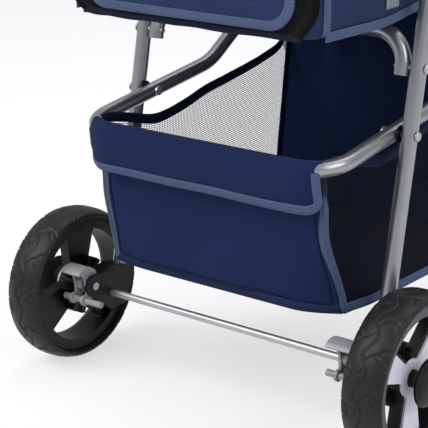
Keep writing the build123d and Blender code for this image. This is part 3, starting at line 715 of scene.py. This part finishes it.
def back_half(v):
    """Half the sheet's width: wide at the floor and the tube, with round lower corners on the cuff."""
    wide = PANEL_HALF - 4.5 * min(1.0, v / 0.6) + (CUFF_HALF + 4.5 - PANEL_HALF) * ease(v, 0.62, 0.70)
    low = max(0.0, (1 - v) * back_path.length)
    if low < CUFF_CORNER and v > CUFF_FROM:
        wide -= CUFF_CORNER - math.sqrt(CUFF_CORNER ** 2 - (CUFF_CORNER - low) ** 2)
    return wide


def back_sheet(x, v):
    """The sheet's place at a distance from the middle and a share of its length."""
    spot = back_path(v)
    follow = ease(v, 0.3, 0.66) * (1 - 0.15 * ease(v, 0.84, 1.0))
    loose = (1 - ease(v, 0.5, 0.64) * (1 - ease(v, 0.84, 0.95))) * ease(v, 0.0, 0.05)
    waves = (ripple((x, 40, spot.z), 75.0, 3.2) + ripple((x, 90, spot.z), 26.0, 0.8)) * (1 - 0.6 * ease(v, 0.8, 0.9))
    waves += ripple((x * 0.4, 11, 450 * v), 28.0, 1.8) * ease(v, 0.82, 0.88)
    foot = (rear_edge(x) - BASKET_REAR) * (1 - ease(v, 0.0, 0.4))
    uneven = ripple((x, 7, 0), 60, 0.7) * ease(v, 0.84, 0.95)
    return Vector((x, spot.y + foot + tube_bend(x) * follow + waves * loose, spot.z + uneven))


def back_shape(u, v):
    return back_sheet((2 * u - 1) * back_half(v), v)


basket_back = drape("basket_back", 96, 110, back_shape, (0.276, back_path.length / 1000))
thicken(basket_back, CLOTH_T)
dress(basket_back, navy_cloth, "basket_frame", "cloth", "basket_back")

# %% [markdown]
# The cuff's edge is bound with tape that goes round its corners, and the panel below has a dark stitched line a
# finger's breadth in from its edges. Both are laid on the sheet itself, so they rise and dip with the cloth.

# %% Cuff tape and panel seams
cuff_ring = ring(CUFF_HALF, 0.0, 90.0, CUFF_CORNER)
CUFF_SIDE = 37.0
CUFF_REACH = (CUFF_HALF + CUFF_SIDE) / cuff_ring.length


def cuff_path(t):
    """Up one side of the cuff, along its edge and up the other; the tape is narrower on the sides."""
    spot, (across, up) = cuff_ring(0.5 + CUFF_REACH * (2 * t - 1))
    return spot, (across * 0.6, up)


def cuff_surface(x, above):
    return back_sheet(x, 1 - above / back_path.length)


tape_on("cuff_tape", cuff_surface, cuff_path, folded(TAPE_W), 190, slate_tape, "basket_frame")


def panel_surface(x, above):
    return back_sheet(x, above / back_path.length)


SEAM = [(-0.9, 0.9), (0.9, 0.9)]
SEAM_IN, SEAM_HIGH = 8, 118
SEAM_HALF = PANEL_HALF - SEAM_IN


def seam_path(side):
    def path(t):
        above = SEAM_IN + SEAM_HIGH * t
        return (side * (back_half(above / back_path.length) - SEAM_IN), above), (-side, 0)
    return path


for side, word in SIDES:
    tape_on(f"panel_seam_{word}", panel_surface, seam_path(side), [(inset, side * lift) for inset, lift in SEAM], 60,
            dark_navy_cloth, "basket_frame")
tape_on("panel_seam_low", panel_surface, lambda t: ((2 * SEAM_HALF * t - SEAM_HALF, SEAM_IN), (0, 1)), SEAM, 90,
        dark_navy_cloth, "basket_frame")

# %% [markdown]
# The basket's other panels: a floor that sags a little, a front panel hung from two loops on the cross bar with folds
# fanning out from them, and two net sides cut low in the middle. Each is a draped grid with its own thickness.

# %% Basket floor, front and sides
LOOP_X, LOOP_W = 80.0, 28.0
FRONT_TOP, BAR_Z = 379.5, 392.0
STRAP_T = 1.2
X_AXIS = Vector((1, 0, 0))


def floor_shape(u, v):
    rear = rear_edge((2 * u - 1) * PANEL_HALF)
    y = rear + v * (BASKET_FRONT - rear)
    x = (2 * u - 1) * side_half(y, 2 * u - 1)
    sag = 4.5 * math.sin(math.pi * u) * math.sin(math.pi * v) + ripple((x, v * 300, 0), 60.0, 1.0)
    return Vector((x, y, BASKET_Z - sag))


basket_floor = drape("basket_floor", 40, 44, floor_shape, (0.289, 0.307))
thicken(basket_floor, CLOTH_T)
dress(basket_floor, dark_navy_cloth, "basket_frame", "cloth", "basket_floor")


def front_top(x):
    """Height of the front panel's upper edge: up at the loops, hanging between them."""
    if abs(x) < LOOP_X:
        return FRONT_TOP - 7.0 * (1 - (x / LOOP_X) ** 2)
    return FRONT_TOP - 0.16 * (abs(x) - LOOP_X)


def front_shape(u, v):
    x = (2 * u - 1) * (BASKET_HALF - 10 * v)
    top = front_top(x)
    z = BASKET_Z + v * (top - BASKET_Z)
    fold = 0.0
    for loop in (-LOOP_X, LOOP_X):
        side, drop = x - loop, BAR_Z - z
        fold += 8.0 * math.cos(10 * math.atan2(side, drop) + loop) * math.exp(-math.hypot(side, drop) / 120)
    hold = math.sin(math.pi * u) ** 0.4
    y = BASKET_FRONT + 13 * v + fold * hold * ease(v, 0.0, 0.3) + ripple((x, 0, z), 45.0, 1.6) * hold
    return Vector((x, y, z))


basket_front = drape("basket_front", 110, 84, front_shape, (0.279, 0.25))
thicken(basket_front, CLOTH_T)
dress(basket_front, navy_cloth, "basket_frame", "cloth", "basket_front")
hem("front_panel_hem", front_shape, 1.0, 90, navy_tape, "basket_frame")

loop_path = line_through([(0, 304.5, 366), (0, 301.5, 379), (0, 300.7, 391), (0, 303.5, 398), (0, 310.3, 400.7),
                          (0, 317.1, 398), (0, 320.0, 391), (0, 317.6, 384), (0, 310.5, 376), (0, 307.5, 366)])
for side, word in SIDES:
    strap = drape(f"basket_loop_{word}", 48, 8,
                  lambda u, v: loop_path(u) + X_AXIS * (side * LOOP_X + (v - 0.5) * LOOP_W),
                  (loop_path.length / 1000, TAPE_W / 1000))
    thicken(strap, STRAP_T)
    dress(strap, slate_tape, "basket_frame", "cloth")

net_top = line_through([(0, -40, 288), (0, -22, 291), (0, 6, 286), (0, 47, 276.5), (0, 72, 276.5), (0, 107, 283),
                        (0, 142, 292), (0, 179, 298), (0, 226, 306), (0, 250, 311), (0, 284, 321), (0, 297, 338),
                        (0, 303, 374)])


def net_shape(side):
    def shape(u, v):
        top = net_top(u)
        rear = rear_edge(side * PANEL_HALF)
        low = Vector((0, rear + u * (BASKET_FRONT - rear), BASKET_Z))
        spot = low.lerp(top, v)
        belly = math.sin(math.pi * u) * math.sin(math.pi * v)
        half = side_half(low.y, side)
        x = half + (CUFF_HALF - half) * v - 4.0 * (1 - u) ** 8 * math.sin(math.pi * v) ** 0.5
        x += 2.0 * belly + ripple((side * 50, spot.y, spot.z), 70.0, 1.6) * belly
        return Vector((side * x, spot.y - 7 * math.sin(math.pi * v) * (1 - u) ** 4, spot.z))
    return shape


for side, word in SIDES:
    net = drape(f"basket_mesh_{word}", 110, 60, net_shape(side), (0.33, 0.165))
    dress(net, black_net, "basket_frame", "mesh", f"basket_mesh_{word}")
    hem(f"net_binding_{word}", net_shape(side), 1.0, 110, navy_tape, "basket_frame")

# %% [markdown]
# Slate tape covers the back corner seams and the lower side edges, navy tape the front corners, and a lighter hem the
# floor's back and front edges. On a real basket tape is sewn half on one panel and half on the other, so each tape has
# two faces that meet along the seam.

# %% Basket corner tapes
DOWN = Vector((0, 0, -1))
BACK = Vector((0, -1, 0))


def seam_tape(name, line, first, second, steps, finish, width):
    """Tape over the seam between two panels that face the ways first and second."""
    tape(name, line, lambda u: (-second, -first), lambda u: (first, second), steps, finish, "basket_frame", width)


for side, word in SIDES:
    share = 0.5 + side / 2
    away = X_AXIS * side
    corner = line_through([back_shape(share, k / 40) for k in range(27)])
    seam_tape(f"corner_tape_{word}", corner, BACK, away, 60, slate_tape, 11.0)
    marks = [BASKET_FRONT + (rear_edge(side * PANEL_HALF) - BASKET_FRONT) * k / 24 for k in range(25)]
    low = line_through([(side * side_half(y, side), y, BASKET_Z) for y in marks])
    seam_tape(f"lower_tape_{word}", low, DOWN, away, 60, slate_tape, 15.0)
    rise = line_through([front_shape(share, k / 20) for k in range(21)])
    seam_tape(f"front_corner_tape_{word}", rise, -BACK, away, 50, navy_tape, 12.0)
for word, edge, way, reach in (("back", rear_edge, BACK, PANEL_HALF),
                               ("front", lambda x: BASKET_FRONT, -BACK, BASKET_HALF)):
    marks = [reach * (k / 12 - 1) for k in range(25)]
    low = line_through([(x, edge(x), BASKET_Z) for x in marks])
    seam_tape(f"lower_hem_{word}", low, DOWN, way, 60, panel_tape, 13.0)

# %% [markdown]
# The cabin is a soft tub with round corners, a curved lower edge and a front that leans out. A bevelled cube would look
# like a box, so the wall is draped round its outline and each panel bellies out a little between its corners. The floor
# is filled in, the wall gets its thickness, and the doorway at the back is cut with a rounded block.

# %% Cabin tub
CABIN_HALF, CABIN_BACK, CABIN_FRONT = 141.0, -66.0, 440.0
CABIN_LOW, CABIN_RIM, CABIN_ROUND = 405.0, 600.0, 14.0
CABIN_LEAN = 50.0 / 195.0
WALL_T = 2.4
SIDE_RUN = CABIN_FRONT - CABIN_BACK - 2 * CABIN_ROUND
END_RUN = 2 * (CABIN_HALF - CABIN_ROUND)
BEND_RUN = math.pi * CABIN_ROUND / 2
CABIN_BEND = (BEND_RUN, CABIN_ROUND)
cabin_line = walk(complex(0, CABIN_BACK), 1, [
    (END_RUN / 2, 0), CABIN_BEND, (SIDE_RUN, 0), CABIN_BEND, (END_RUN, 0), CABIN_BEND, (SIDE_RUN, 0), CABIN_BEND,
    (END_RUN / 2, 0)])
CABIN_ROUND_RUN = cabin_line.length
LAST_RUN = 8


def cabin_ring(share):
    """A place on the cabin's outline in plan from the middle of the back, its outward way, and the belly there."""
    spot, ahead, number, along = cabin_line(share % 1.0)
    if number in (0, LAST_RUN):
        along = along / 2 + (0.5 if number == 0 else 0.0)
    belly = 0.0 if number % 2 else math.sin(math.pi * along)
    return Vector((spot.real, spot.imag, 0)), Vector((ahead.imag, -ahead.real, 0)), belly


def low_round(y):
    """Radius of the cabin's lower edge: sharper at the back, where it is bound."""
    return 11.0 + 3.0 * ease(y, 110, 230)


def low_curve(z, y):
    """How far the cabin's lower edge has drawn in at this height."""
    curve = low_round(y)
    drop = min(max(CABIN_LOW + curve - z, 0.0), curve)
    return curve - math.sqrt(curve ** 2 - drop ** 2)


def spread(x, y, z):
    """The lower back corners stand out wider than the rest of the cabin."""
    wide = 7.0 * ease(abs(x), 122, 141) * (1 - ease(y, 40, 140)) * (1 - ease(z, 470, 590))
    return x + math.copysign(wide, x)


def cabin_wall(share, z, out=0.0):
    """The cabin's wall; beside the folding tube's path it swells less."""
    spot, way, belly = cabin_ring(share)
    flank = 1 - 0.75 * ease(spot.y, 60, 130) * ease(abs(spot.x), 136, 141)
    swell = 2.6 * flank * belly * math.sin(math.pi * ease(z, 420, 600))
    place = spot + way * (out + swell - low_curve(z, spot.y))
    lean = CABIN_LEAN * (z - CABIN_LOW) * ease(spot.y, 240, CABIN_FRONT)
    loose = belly * math.sin(math.pi * ease(z, 420, 600)) ** 0.5
    wave = ripple((spot.x, spot.y, z), 60.0, 3.0) * loose * flank ** 2
    return Vector((spread(place.x + way.x * wave, place.y, z), place.y + lean + way.y * wave, z))


LOW_SHARE = 0.16


def tub_shape(u, v):
    curve = low_round(cabin_ring(u)[0].y)
    if v < LOW_SHARE:
        turn = math.radians(86) * (1 - v / LOW_SHARE)
        return cabin_wall(u, CABIN_LOW + curve * (1 - math.sin(turn)))
    low = CABIN_LOW + curve
    return cabin_wall(u, low + (v - LOW_SHARE) / (1 - LOW_SHARE) * (CABIN_RIM - low))


def pick_points(piece, test):
    """Leave only the points that pass the test selected, in edit mode."""
    only(piece)
    bpy.ops.object.mode_set(mode="EDIT")
    bpy.ops.mesh.select_mode(type="VERT")
    bpy.ops.mesh.select_all(action="DESELECT")
    bpy.ops.object.mode_set(mode="OBJECT")
    for vertex in piece.data.vertices:
        vertex.select = test(vertex.co)
    bpy.ops.object.mode_set(mode="EDIT")


cabin_tub = drape("cabin_tub", 320, 40, tub_shape, (CABIN_ROUND_RUN / 1000, 0.215))
weld(cabin_tub, outward=False)
lowest = min(vertex.co.z for vertex in cabin_tub.data.vertices)
pick_points(cabin_tub, lambda co: co.z < lowest + 0.00004)
bpy.ops.mesh.edge_face_add()
bpy.ops.object.mode_set(mode="OBJECT")
weld(cabin_tub)
thicken(cabin_tub, WALL_T, offset=-1.0)

# %% [markdown]
# The doorway is cut by a block with rounded corners, as a pattern cutter's die would. The block is a cube whose long
# edges are bevelled, and it goes away after the cut.

# %% Doorway
DOOR_HALF, DOOR_LOW, DOOR_HIGH, DOOR_ROUND = 124.0, 412.0, 584.0, 28.0
bpy.ops.object.select_all(action="DESELECT")
bpy.ops.mesh.primitive_cube_add(size=1, location=at((0, CABIN_BACK, (DOOR_LOW + DOOR_HIGH) / 2)))
die = bpy.context.object
die.scale = (2 * DOOR_HALF / 1000, 0.06, (DOOR_HIGH - DOOR_LOW) / 1000)
bpy.ops.object.transform_apply(location=True, rotation=True, scale=True)
for edge in die.data.edges:
    ends = [die.data.vertices[k].co for k in edge.vertices]
    edge.select = abs(ends[0].y - ends[1].y) > 0.01
bpy.ops.object.mode_set(mode="EDIT")
bpy.ops.mesh.select_mode(type="EDGE")
bpy.ops.mesh.bevel(offset=DOOR_ROUND / 1000, segments=10)
bpy.ops.object.mode_set(mode="OBJECT")
modify(cabin_tub, "BOOLEAN", operation="DIFFERENCE", object=die, solver="EXACT")
bpy.data.objects.remove(die)
dress(cabin_tub, denim_cloth, "rear_frame", "cloth", "cabin_tub")

# %% [markdown]
# The back door is a padded flap with round corners. Its rows get narrower towards the corners, which keeps square weave
# and clean faces where a fan of triangles would pucker. It stands a little proud of the wall and is bound with slate
# tape. A broad black zip runs round it on the cabin wall, and slate piping stands along the rear corners.


# %% Back door
def round_half(z, half, low, high, corner):
    """Half the width of a rounded rectangle at a height."""
    near = min(z - low, high - z)
    if near >= corner:
        return half
    return half - corner + math.sqrt(max(0.0, corner ** 2 - (corner - near) ** 2))


def door_face(x, z):
    middle, reach = (DOOR_LOW + DOOR_HIGH) / 2, (DOOR_HIGH - DOOR_LOW) / 2 + 1
    pad = max(0.0, 1 - (x / DOOR_HALF) ** 2) ** 0.5 * max(0.0, 1 - ((z - middle) / reach) ** 2) ** 0.5
    return Vector((x, CABIN_BACK - 1.6 - 3.5 * pad + ripple((x, 300, z), 55.0, 3.0) * pad, z))


# The top edge stays below the hinge line, so that the flap clears the wall when it lifts.
DOOR_EDGE = (DOOR_HALF - 1.0, DOOR_LOW + 0.5, DOOR_HIGH - 5.5, DOOR_ROUND - 1.0)


def door_shape(u, v):
    half, low, high, corner = DOOR_EDGE
    z = low + (high - low) * (0.5 - 0.5 * math.cos(math.pi * v))
    return door_face((2 * u - 1) * round_half(z, half, low, high, corner), z)


DOOR_T = 2.2
back_door = drape("back_door", 70, 56, door_shape, (0.25, 0.17))
thicken(back_door, DOOR_T)
dress(back_door, denim_cloth, "back_door", "cloth", "back_door")
tape_on("door_piping", door_face, ring(*DOOR_EDGE), folded(8.0), 260, slate_tape, "back_door", closed=True)


def wall_face(run, rise):
    """The cabin's wall at a run from the middle of the back and a rise measured on the cloth."""
    share = run / CABIN_ROUND_RUN
    spot, way, _ = cabin_ring(share)
    curve = low_round(spot.y)
    arc = max(0.0, CABIN_LOW + curve - rise)
    if arc == 0.0:
        return cabin_wall(share, rise)
    under = max(0.0, arc - curve * math.pi / 2)
    return cabin_wall(share, CABIN_LOW + curve * (1 - math.sin(min(arc / curve, math.pi / 2))), -under)


def flat(width, rise=0.8):
    """Rows of a tape lying flat on a face."""
    return [(width * (k / 4 - 0.5), rise) for k in range(5)]


def zipped(name, width):
    """Black zip: woven tape with a row of teeth along its middle."""
    made = Finish(name, Specular_IOR_Level=0.1)
    along, across = made.flat()
    middle = abs(across / width - 0.5)
    teeth = (middle < 0.14) * ((along / 0.0022).part() < 0.6)
    cloud = made.grain(300.0, 2.0)
    made.feed(Base_Color=made.blend(teeth, tint(9, 9, 11), tint(18, 18, 21)),
              Roughness=0.75 - teeth * 0.35 + cloud * 0.1)
    made.dent(teeth * 2.0 + cloud * 0.2, 0.0004)
    return made.material


ZIP_W = 18.0
black_zip = zipped("black_zip", ZIP_W / 1000)
zip_ring = ring(DOOR_HALF + 10.0, DOOR_LOW - 10.0, DOOR_HIGH + 4.0, DOOR_ROUND + 8.0)
CORNER_RUN, CORNER_LOW, CORNER_HIGH = 148.5, 409, 180
tape_on("door_zip", wall_face, zip_ring, flat(ZIP_W, -0.8), 280, black_zip, "rear_frame", closed=True)
for side, word in SIDES:
    tape_on(f"corner_piping_{word}", wall_face,
            lambda t: ((side * CORNER_RUN, CORNER_LOW + CORNER_HIGH * t), (-side, 0)), flat(TAPE_W, side * 0.9), 70,
            slate_tape, "rear_frame")

# %% [markdown]
# Slate tape hangs along the cabin's lower edge on the sides and front, rising a little towards the front, and binds its
# upper rim. At the back a strip of cloth, painted dark as shade, closes the gap under the door. A grey webbing tab is
# sewn to each side.


# %% Cabin tapes
def skirt(run, z):
    """Upright face just outside the cabin's outline."""
    spot, way, _ = cabin_ring(run / CABIN_ROUND_RUN)
    lean = CABIN_LEAN * (z - CABIN_LOW) * ease(spot.y, 240, CABIN_FRONT)
    return Vector((spread(spot.x + way.x * 0.2, spot.y, z), spot.y + way.y * 0.2 + lean, z))


BAND_FROM = 147.0


def band_path(t):
    run = BAND_FROM + (CABIN_ROUND_RUN - 2 * BAND_FROM) * t
    y = cabin_ring(run / CABIN_ROUND_RUN)[0].y
    return (run, 408.6 + 10.0 * ease(y, 20, 170)), (0.0, 1.0)


tape_on("cabin_band", skirt, band_path, flat(TAPE_W), 320, slate_tape, "rear_frame")
# painted shade: the sill's cloth is given the dark grey-navy of the unlit band under the door
sill_cloth = woven("sill_cloth", tint(23, 27, 42), 0.1)
SILL_HALF, SILL_Z, SILL_W = 128, 406.6, 6.6


def sill_path(t):
    run = 2 * SILL_HALF * t
    return (run - SILL_HALF, SILL_Z + ripple((run, 3, 5), 40.0, 1.4)), (0.0, 1.0)


tape_on("cabin_sill", lambda run, z: skirt(run, z) + Vector((0, 2.2, 0)), sill_path, flat(SILL_W), 160, sill_cloth,
        "rear_frame")
TAB_W, TAB_Y, TAB_LOW, TAB_HIGH = 24.0, 57.5, 421, 60
grey_webbing = taped("grey_webbing", tint(120, 124, 132), TAB_W / 1000, tint(150, 154, 160))
for side, word in SIDES:
    run = side * (CABIN_HALF + BEND_RUN - CABIN_ROUND + TAB_Y - CABIN_BACK - CABIN_ROUND)
    tape_on(f"side_tab_{word}", wall_face, lambda t: ((run, TAB_LOW + TAB_HIGH * t), (-side, 0)),
            flat(TAB_W, side * 1.4), 24, grey_webbing, "rear_frame")
rim_line = line_through([cabin_wall(k / 160, CABIN_RIM) for k in range(160)], closed=True)
tape("cabin_rim", rim_line, lambda u: (DOWN, DOWN), lambda u: (cabin_ring(u)[1], -cabin_ring(u)[1] * 3.4), 320,
     slate_tape, "rear_frame", 2 * TAPE_W, closed=True, crown=0.0)

# %% [markdown]
# The canopy is one curved sheet from the rear rim over the top, held up by bent wires. Between the wires the cloth
# dips a little, which shows in its outline. The hood is a second sheet on the same pivots that turns over it. A net
# window in the canopy's back lets the pet see out; it is the same sheet with other faces, framed by tape.

# %% Canopy
CANOPY_Y, CANOPY_Z = 214.0, 590.0
CANOPY_HALF, CANOPY_R, CANOPY_EDGE, CANOPY_LOW = 141.0, 278.0, 55.0, 16.0


def hoop(half, radius, edge, low):
    """Across and out from the pivot line along a bent hoop, and the outward way (across, out) there."""
    rise, bend = radius - edge - low, (math.pi * edge / 2, -edge)
    line = walk(complex(-half, low), 1j, [(rise, 0), bend, (2 * (half - edge), 0), bend, (rise, 0)])

    def spot_at(share):
        spot, ahead, _, _ = line(share)
        return spot.real, spot.imag, (-ahead.imag, ahead.real)

    spot_at.length = line.length
    return spot_at


def hoop_place(x, out, degrees):
    turn = math.radians(degrees)
    return Vector((x, CANOPY_Y + out * math.cos(turn), CANOPY_Z + out * math.sin(turn)))


canopy_line = hoop(CANOPY_HALF, CANOPY_R, CANOPY_EDGE, CANOPY_LOW)
CANOPY_RUN, CANOPY_LONG = canopy_line.length, 500.0
CANOPY_FROM = 75.0
RIBS = (77.0, 112.0, 146.0, 180.0)


def dip(degrees):
    """Share of the dip between two ribs, 0 on each rib."""
    for low, high in zip(RIBS, RIBS[1:]):
        if low <= degrees <= high:
            share = (degrees - low) / (high - low)
            return 4 * share * (1 - share)
    return 0.0


def canopy_shape(u, v):
    x, out, way = canopy_line(u)
    last = 180.0 - math.degrees(math.asin(min(1.0, 11.0 / out)))
    degrees = CANOPY_FROM + v * (last - CANOPY_FROM)
    pull = 4.5 * dip(degrees) * ease(out, 60, 240)
    return hoop_place(x - way[0] * pull * 0.6, out - way[1] * pull, degrees)


canopy = drape("canopy", 150, 72, canopy_shape, (CANOPY_RUN / 1000, CANOPY_LONG / 1000))
WINDOW_HALF, WINDOW_FROM, WINDOW_TO = 92.0, 280.0, 440.0
dress(canopy, denim_cloth, "rear_frame", "cloth", "canopy")
canopy.data.materials.append(black_net)
for face in canopy.data.polygons:
    spots = [canopy.data.uv_layers[0].data[k].uv for k in face.loop_indices]
    a, b = (sum(spot[k] for spot in spots) * 1000 / len(spots) for k in (0, 1))
    if abs(a - CANOPY_RUN / 2) < WINDOW_HALF and WINDOW_FROM < b < WINDOW_TO:
        face.material_index = 1
print("canopy window faces", sum(face.material_index for face in canopy.data.polygons))


def canopy_face(a, b):
    return canopy_shape(0.5 + a / CANOPY_RUN, b / CANOPY_LONG)


tape_on("window_tape", canopy_face, ring(WINDOW_HALF + 1, WINDOW_FROM - 1, WINDOW_TO + 1, 6.0), flat(TAPE_W), 240,
        slate_tape, "rear_frame", closed=True)
hem("canopy_rear_hem", canopy_shape, 1.0, 120, slate_tape, "rear_frame")
hem("canopy_front_hem", canopy_shape, 0.0, 120, navy_tape, "rear_frame", 6.0)

# %% [markdown]
# The hood is made the same way, a little wider so that it passes over the canopy. Its front edge is a sleeve sewn
# round the wire hoop.

# %% Hood
HOOD_LIFT, HOOD_LOW, HOOD_T = 4.2, 10.0, 1.2
HOOD_FROM, HOOD_TO = 45.0, 125.0
HOOD_HALF, HOOD_R, HOOD_EDGE = CANOPY_HALF + HOOD_LIFT, CANOPY_R + HOOD_LIFT, CANOPY_EDGE + HOOD_LIFT
hood_line = hoop(HOOD_HALF, HOOD_R, HOOD_EDGE, HOOD_LOW)


def hood_shape(u, v):
    x, out, way = hood_line(u)
    degrees = HOOD_FROM + v * (HOOD_TO - HOOD_FROM)
    share = min(max((degrees - 48) / 26, 0.0), 1.0)
    pull = 1.4 * 4 * share * (1 - share) * ease(out, 60, 240)
    return hoop_place(x - way[0] * pull * 0.5, out - way[1] * pull, degrees)


hood = drape("hood", 150, 60, hood_shape, (0.79, 0.39))
thicken(hood, HOOD_T, offset=1.0)
dress(hood, denim_cloth, "hood", "cloth", "hood")
hem("hood_rear_hem", hood_shape, 1.0, 130, slate_tape, "hood", 7.0)
SLEEVE_R, SLEEVE_LIFT, SLEEVE_TURN = 4.4, 2.8, HOOD_FROM + 2
sleeve_line = hoop(HOOD_HALF + SLEEVE_LIFT, HOOD_R + SLEEVE_LIFT, HOOD_EDGE + SLEEVE_LIFT, HOOD_LOW)


def sleeve_shape(u, v):
    x, out, way = sleeve_line(0.03 + 0.94 * u)
    turn = v * TURN
    rise = SLEEVE_R * math.cos(turn)
    spot = hoop_place(x + way[0] * rise, out + way[1] * rise, SLEEVE_TURN)
    ahead = math.radians(SLEEVE_TURN)
    return spot + Vector((0, -math.sin(ahead), math.cos(ahead))) * (SLEEVE_R * math.sin(turn))


sleeve = drape("hood_sleeve", 150, 14, sleeve_shape, (0.79, 0.009))
weld(sleeve)
dress(sleeve, slate_tape, "hood", "cloth")

# %% [markdown]
# The cushion is a flat pillow. A rounded block is remeshed and blown up a little as cloth, so its top crowns and its
# sides draw in between the corners; a cap keeps it within the cabin.

# %% Cushion
CUSHION_HALF, CUSHION_Y, CUSHION_LONG, CUSHION_Z = 120.0, 187.0, 228.0, 410.0
VOXEL, PUFF, PUFF_STEPS, CAP = 0.0055, 4.0, 20, 0.006


def cushion_block(u, v):
    turn, lift = u * TURN, (v - 0.5) * math.pi
    side = Vector((math.cos(turn), math.sin(turn)))
    ring = (abs(side.x) ** 5 + abs(side.y) ** 5) ** (-1 / 5)
    flat = math.copysign(abs(math.sin(lift)) ** 0.5, math.sin(lift))
    wide = abs(math.cos(lift)) ** 0.35
    return Vector((CUSHION_HALF * side.x * ring * wide, CUSHION_Y + CUSHION_LONG * side.y * ring * wide,
                   CUSHION_Z + 14 + 12 * flat))


cushion = drape("cabin_cushion", 120, 36, cushion_block, (0.9, 0.5))
weld(cushion)
modify(cushion, "REMESH", mode="VOXEL", voxel_size=VOXEL)
rest = [vertex.co.copy() for vertex in cushion.data.vertices]
cloth = cushion.modifiers.new("puff", "CLOTH")
cloth.settings.use_pressure = True
cloth.settings.uniform_pressure_force = PUFF
cloth.settings.effector_weights.gravity = 0.0
cloth.collision_settings.use_self_collision = False
for step in range(1, PUFF_STEPS + 1):
    bpy.context.scene.frame_set(step)
only(cushion)
bpy.ops.object.modifier_apply(modifier=cloth.name)
bpy.context.scene.frame_set(1)
for vertex, start in zip(cushion.data.vertices, rest):
    move = vertex.co - start
    if move.length > CAP:
        vertex.co = start + move * (CAP / move.length)
    vertex.co.z = max(vertex.co.z, (CUSHION_Z + 0.4) / 1000)
modify(cushion, "SUBSURF", levels=1, render_levels=1)


def fleecy(name, colour):
    """Short grey pile: clouded colour and soft bumps on object coordinates."""
    made = Finish(name, Sheen_Weight=0.4)
    tuft = made.grain(420.0, 3.0)
    cloud = made.grain(24.0, 3.0)
    pile = made.blend(tuft * 0.7 + cloud * 0.3, shade(colour, 0.7), shade(colour, 1.15))
    made.feed(Base_Color=pile, Roughness=0.85 + tuft * 0.1)
    made.dent(tuft, 0.0012)
    return made.material


grey_fleece = fleecy("grey_fleece", tint(112, 118, 132))
dress(cushion, grey_fleece, "rear_frame", "cloth", "cabin_cushion")

# %% [markdown]
# The grip is a foam sleeve on the handle bar. Its ends are drawn in and its skin is uneven, as foam slid onto a tube
# is.

# %% Handle grip
GRIP_Y, GRIP_Z, GRIP_R, GRIP_HALF = -129.3, 980.28, 14.8, 132.0


def grip_shape(u, v):
    x = (2 * u - 1) * GRIP_HALF
    end = GRIP_HALF - abs(x)
    radius = 9.2 + (GRIP_R - 9.2) * math.sqrt(min(1.0, end / 6.0) * (2 - min(1.0, end / 6.0)))
    radius += ripple((x, v * 40, 3), 22.0, 0.5) - 0.5 * groove(abs(end - 12), 2.0)
    return Vector((x, GRIP_Y + radius * math.cos(v * TURN), GRIP_Z + radius * math.sin(v * TURN)))


grip = drape("handle_grip", 120, 32, grip_shape, (0.264, 0.094))
weld(grip)
dress(grip, grip_foam, "handle", "foam", "handle_grip")

# %% [markdown]
# When the frame folds, the basket's tube turns up beside the cabin and its cloth crumples towards the rear bar. Every
# basket piece, together with its tapes, is given a mesh of its own.

# %% Basket pieces' own meshes
FOLDS = ("basket_back", "basket_floor", "basket_front", "basket_mesh", "basket_loop", "cuff_", "panel_", "front_panel",
         "net_binding", "corner_tape", "lower_", "front_corner")
cad_pieces = list(nodes.values())
folding = [piece for piece in bpy.data.objects if piece.name.startswith(FOLDS) and piece not in cad_pieces]
for piece in folding:
    tuple(at((0, -50, 285)))
    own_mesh(piece)
print("basket pieces that fold", len(folding))
